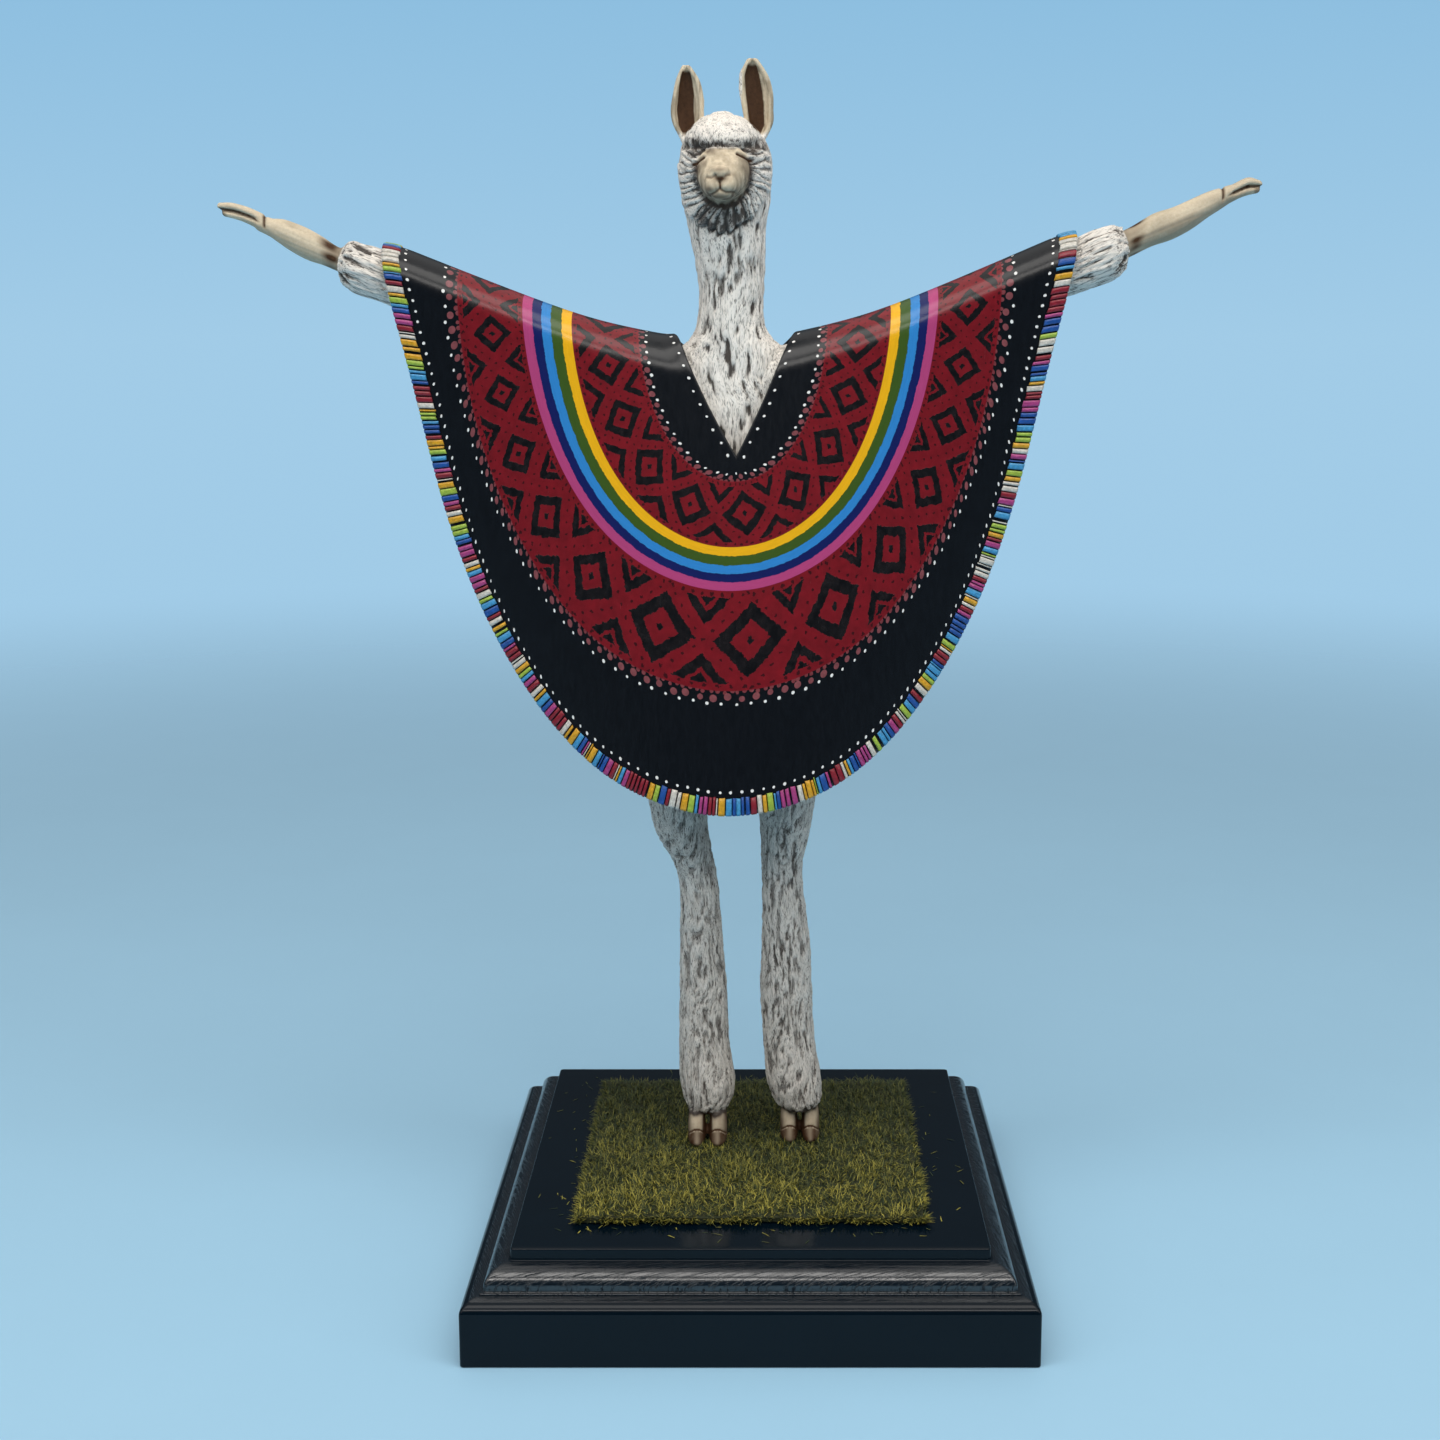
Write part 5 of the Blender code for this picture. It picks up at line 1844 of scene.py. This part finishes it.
def carve_fingers(carving, middle, end, fingers, sign):
    """A crease at the knuckles, the cleft between the two fingers, and their dark tips."""
    x, _, z = carving.points.T
    knuckle = end - sign * 2.2
    crease = bell(x - knuckle, 0.5) * smooth_step(z - middle, -1.5, 0.0)
    carving.raised -= 0.5 * crease
    carving.stain_and_shade(0.85 * crease)
    upper, lower = [np.array(sorted(points)) for points in fingers]
    between = (np.interp(x, upper[:, 0], upper[:, 1]) + np.interp(x, lower[:, 0], lower[:, 1])) / 2.0
    cleft = bell(z - between, 0.45) * smooth_step(sign * (x - end), -2.0, 0.5)
    carving.raised -= 0.45 * cleft
    carving.stain_and_shade(0.8 * cleft)
    far = sign * fingers[0][-1][0]
    tip = smooth_step(sign * x, far - 2.6, far - 1.2)
    carving.stain_and_shade(0.55 * tip * smooth_step(-(z - between), -1.2, 0.4))


def add_hand(name, hand, cuff, fingers, sign, seed, shade, material):
    """Carve one cuff of wool and the long cloven hand that comes out of it."""
    clay = Clay()
    clay.loft(cuff, "X", 0.3, 40)
    clay.loft(hand, "X", 0.5, 60)
    for points in fingers:
        clay.loft(finger_stations(points), "X", 0.7, 24)
    carving = Carving(clay.melted(name, FINE_VOXEL, 3))
    x, y, z = carving.points.T
    table = np.array(sorted(hand))
    middle = np.interp(x, table[:, 0], table[:, 2])
    along = sign * (x - cuff[-1][0])
    carve_cuff(carving, along, np.hypot(y - BODY_Y / MM, z - middle), seed)
    paint_hand(carving, along, middle - z, seed, shade)
    carve_fingers(carving, middle, hand[-1][0], fingers, sign)
    return carving.finish(name, material)


def arm_stations(sign, cuff):
    """Stations of one arm, under the poncho's ridge as far as the cuff."""
    stations = []
    for reach in ARM_REACHES:
        sleeve = SLEEVE_RADIUS + CHEST_SWELL * math.exp(-(reach / SWELL_REACH) ** 2)
        radius = sleeve - PONCHO_THICKNESS - ARM_CLEARANCE
        slope = SHOULDER_SLOPE if reach < ELBOW else ARM_SLOPE
        height = float(ridge_height(sign * reach)) - sleeve * math.hypot(1.0, slope)
        place = (BODY_X + sign * reach, BODY_Y, height, radius, radius)
        stations.append(tuple(value / MM for value in place))
    return tuple(stations) + tuple(cuff)


def finger_stations(points):
    """Stations of a long toe, flatter than it is deep."""
    return tuple((x, BODY_Y / MM, z, thick * FINGER_DEPTH, thick) for x, z, thick in points)


def foot_toes(place):
    """Stations of a foot's two toes, side by side."""
    middle, step_back = place
    toes = []
    for sign in (-1.0, 1.0):
        toes.append(tuple(
            (middle + sign * (FOOT_SPREAD + x), y + step_back, z + SOLE_Z / MM, wide, deep)
            for x, y, z, wide, deep in FOOT_TOE
        ))
    return toes


def wool_finish():
    """Carved wool and skin: cream paint with grey-brown paint washed into the grooves, and painted shade
    where the carving darkens it under the ruff, the chin, the poncho and the hems.
    """
    finish = Finish("carved_wool", 0.6)
    finish.shader.inputs["Specular IOR Level"].default_value = 0.18
    wash, skin, brown = [finish.stored(key) for key in ("wash", "skin", "brown")]
    flow = finish.new("Attribute", attribute_name="flow").outputs["Vector"]
    place = finish.place()
    hairs = finish.noise(flow, 4.2, 2.0, 0.6)
    strokes = finish.noise(flow, 2.4, 2.0, 0.55)
    blotch = finish.noise(place, 0.16, 3.0)
    fine = finish.noise(place, 1.1, 4.0, 0.7)
    lines = ((0.45 - strokes) * 11.0).clamp() * 0.55 + ((0.44 - hairs) * 10.0).clamp() * 0.45
    fur_side = 1.0 - skin
    # ink: dark paint in the grooves, together with the painted shade that the carving stores
    ink = (wash * (0.75 + fine * 0.5) + lines * fur_side * (blotch + 0.45)).clamp()
    light = finish.mix(blotch, (0.90, 0.835, 0.75), (0.86, 0.82, 0.76))
    wool = finish.mix(((hairs - 0.5) * 2.5).clamp(), light, (0.95, 0.91, 0.85))
    hide = finish.mix((fine * 1.8 - 0.4).clamp(), (0.60, 0.49, 0.34), (0.80, 0.71, 0.54))
    colour = finish.mix(skin, wool, hide)
    # The dark colour of the grooves, also used for the painted shade
    wash_and_shade_colour = finish.mix(blotch, (0.050, 0.048, 0.050), (0.095, 0.075, 0.058))
    colour = finish.mix(ink, colour, wash_and_shade_colour)
    # Umber paints the brown stains, and also the painted shade under the hands and on the feet
    umber = finish.mix(fine, (0.018, 0.008, 0.004), (0.10, 0.046, 0.020))
    colour = finish.mix((brown * (1.05 + fine * 0.4)).clamp(), colour, umber)
    finish.colour(colour)
    finish.bump(fine * 0.3 - lines * fur_side, 0.18 * MM, 0.6)
    finish.rough(0.52 + fine * 0.2)
    return finish


def add_llama():
    """Carve the whole llama as a few pieces that meet out of sight under the poncho."""
    wool = wool_finish()
    add_head_and_neck(wool)
    add_body(wool)
    add_leg("llama_left_leg", LEFT_LEG, LEFT_FOOT, 6, wool)
    add_leg("llama_right_leg", RIGHT_LEG, RIGHT_FOOT, 7, wool)
    # The last number but one is each hand's painted shade underneath; the right hand is painted darker
    add_hand("llama_left_hand", LEFT_HAND, LEFT_CUFF, LEFT_FINGERS, -1.0, 8, 0.24, wool)
    add_hand("llama_right_hand", RIGHT_HAND, RIGHT_CUFF, RIGHT_FINGERS, 1.0, 9, 0.42, wool)


# Grass


def blade_strips(roots, heading, lean, bend, length, width):
    """Points of bent blades: pairs of points up each blade and a tip."""
    along = np.stack([np.cos(heading), np.sin(heading)], 1)
    side = np.stack([-along[:, 1], along[:, 0]], 1) * (width / 2.0)[:, None]
    flat = np.zeros((len(roots), 1))
    points = []
    reach = np.zeros(len(roots))
    height = np.zeros(len(roots))
    for joint in range(BLADE_JOINTS + 1):
        spot = roots + np.stack([along[:, 0] * reach, along[:, 1] * reach, height], 1)
        taper = 1.0 - 0.6 * joint / BLADE_JOINTS
        if joint < BLADE_JOINTS:
            points += [spot + np.concatenate([side * sign * taper, flat], 1) for sign in (-1.0, 1.0)]
        else:
            points.append(spot)
        angle = np.minimum(lean + bend * joint, 1.56)
        reach = reach + np.sin(angle) * length / BLADE_JOINTS
        height = height + np.cos(angle) * length / BLADE_JOINTS
    return np.stack(points, 1)


def mat_blades(random):
    """Roots, headings, leans and lengths of the fibres that stand on the mat."""
    low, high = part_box("grass_patch")
    count = GRASS_BLADES
    roots = np.stack([
        random.uniform(low[0] + 0.3 * MM, high[0] - 0.3 * MM, count),
        random.uniform(low[1] + 0.2 * MM, high[1] - MAT_BACK_INSET, count),
        np.full(count, high[2] - 0.2 * MM),
    ], 1)
    clump = drift(roots / MM, (4.0, 4.0, 9.0), 71) + 0.6 * drift(roots / MM, (1.7, 1.7, 9.0), 72)
    rim = np.minimum(roots[:, :2] - low[:2], high[:2] - roots[:, :2]).min(axis=1) / MM
    keep = random.random(count) < 0.80 + 0.35 * clump
    keep &= rim > 1.0 + 1.3 * drift(roots / MM, (1.6, 1.6, 9.0), 73)
    lean = np.clip(np.abs(random.normal(1.0, 0.38, count)), 0.0, 1.5)
    length = random.uniform(1.3, 3.3, count) * MM * (1.0 + 0.15 * clump)
    return roots[keep], random.uniform(0.0, TAU, count)[keep], lean[keep], length[keep], clump[keep]


def edge_blades(random):
    """The same for fibres that hang over the mat's four edges."""
    low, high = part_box("grass_patch")
    count = EDGE_BLADES
    side = random.integers(0, 4, count)
    part = random.random(count)
    inset = random.uniform(0.2, 1.3, count) * MM
    end_x = np.where(side == 2, low[0] + inset, high[0] - inset)
    end_y = np.where(side == 0, low[1] + inset, high[1] - inset)
    x = np.where(side < 2, low[0] + (high[0] - low[0]) * part, end_x)
    y = np.where(side >= 2, low[1] + (high[1] - low[1]) * part, end_y)
    z = low[2] - 0.2 * MM + (high[2] - low[2]) * random.random(count)
    outward = np.choose(side, [-TAU / 4.0, TAU / 4.0, TAU / 2.0, 0.0])
    heading = outward + random.normal(0.0, 0.8, count)
    lean = random.uniform(0.8, 1.53, count)
    roots = np.stack([x, y, z], 1)
    tuft = drift(roots / MM, (1.8, 1.8, 9.0), 74)
    length = random.uniform(1.2, 2.9, count) * MM * (1.0 + 0.45 * tuft)
    keep = tuft > random.uniform(-0.5, 0.1, count)
    return roots[keep], heading[keep], lean[keep], length[keep], random.normal(0.0, 0.5, keep.sum())


def stray_blades(random):
    """The same for loose fibres that lie on the plinth's top face, nearer the mat more often."""
    low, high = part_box("grass_patch")
    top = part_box("plinth")[1][2]
    count = STRAY_BLADES
    turn = random.uniform(0.0, TAU, count)
    reach = 1.04 + np.abs(random.normal(0.0, 0.08, count))
    square = reach / np.maximum(np.abs(np.cos(turn)), np.abs(np.sin(turn)))
    x = (low[0] + high[0]) / 2.0 + np.cos(turn) * square * MAT_WIDTH / 2.0
    y = (low[1] + high[1]) / 2.0 + np.sin(turn) * square * MAT_DEPTH / 2.0
    roots = np.stack([x, y, np.full(count, top + 0.06 * MM)], 1)
    roots[:, :2] = np.clip(roots[:, :2], -STRAY_LIMIT, STRAY_LIMIT)
    lean = random.uniform(1.40, 1.54, count)
    heading = random.uniform(0.0, TAU, count)
    length = random.uniform(1.2, 3.4, count) * MM
    return roots, heading, lean, length, np.full(count, 0.75)


def add_grass():
    """Stand static grass on the mat, with fibres over its edges and a few loose ones on the plinth."""
    random = np.random.default_rng(GRASS_SEED)
    groups = [mat_blades(random), edge_blades(random), stray_blades(random)]
    roots, heading, lean, length, clump = (np.concatenate(parts) for parts in zip(*groups))
    count = len(roots)
    width = random.uniform(0.20, 0.35, count) * MM
    strips = blade_strips(roots, heading, lean, random.uniform(-0.2, 0.7, count), length, width)
    tint = np.clip(0.30 + 0.20 * clump + random.normal(0.0, 0.50, count), 0.0, 1.0)
    each = strips.shape[1]
    base = np.arange(count) * each
    quads = [
        np.stack([base + 2 * joint + step for step in (0, 1, 3, 2)], 1)
        for joint in range(BLADE_JOINTS - 1)
    ]
    tips = np.stack([base + each - 3, base + each - 2, base + each - 1], 1)
    mesh = bpy.data.meshes.new("grass_blades")
    mesh.from_pydata(strips.reshape(-1, 3).tolist(), [], np.concatenate(quads).tolist() + tips.tolist())
    mesh.shade_smooth()
    ends = np.tile(np.repeat(np.linspace(0.0, 1.0, BLADE_JOINTS + 1), [2] * BLADE_JOINTS + [1]), count)
    store(mesh, tint=np.repeat(tint, each), rise=ends)
    add_piece("grass_blades", mesh, "grass", [grass_finish()])
    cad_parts["grass_patch"].data.materials[0] = soil_finish().material


def grass_finish():
    """Static grass fibres, from dark green roots to olive and yellow tips, painted yellower towards the
    front and darker towards the back, partly as painted shade of the poncho.
    """
    finish = Finish("static_grass", 0.7)
    tint, rise = finish.stored("tint"), finish.stored("rise")
    place = finish.place()
    depth = finish.split(place)[1]
    patch = finish.noise(place, 0.06, 3.0)
    # The back is painted darker and the front yellower, partly as painted shade of the poncho over the back
    toward_front = (depth * -0.011 + patch * 0.7 + 0.10).clamp()
    dark = finish.mix(tint, (0.006, 0.013, 0.004), (0.040, 0.062, 0.010))
    light = finish.mix(tint, (0.035, 0.060, 0.012), (0.68, 0.58, 0.085))
    colour = finish.mix((rise * 0.7 + toward_front * 0.4 - 0.1).clamp(), dark, light)
    finish.colour(finish.mix(toward_front, finish.mix(0.55, colour, (0.014, 0.035, 0.010)), colour))
    return finish


def soil_finish():
    """The mat under the blades: dark glue and the shortest fibres."""
    finish = Finish("grass_bed", 0.9)
    place = finish.place()
    speck = finish.noise(place, 1.6, 4.0, 0.8)
    finish.colour(finish.mix((speck * 2.0 - 0.6).clamp(), (0.006, 0.010, 0.003), (0.040, 0.048, 0.010)))
    finish.bump(speck, 0.5 * MM, 1.0)
    return finish


def build():
    """Dress the whole figure."""
    add_camera()
    add_studio()
    add_plinth()
    add_poncho()
    add_fringe()
    add_llama()
    add_grass()


build()
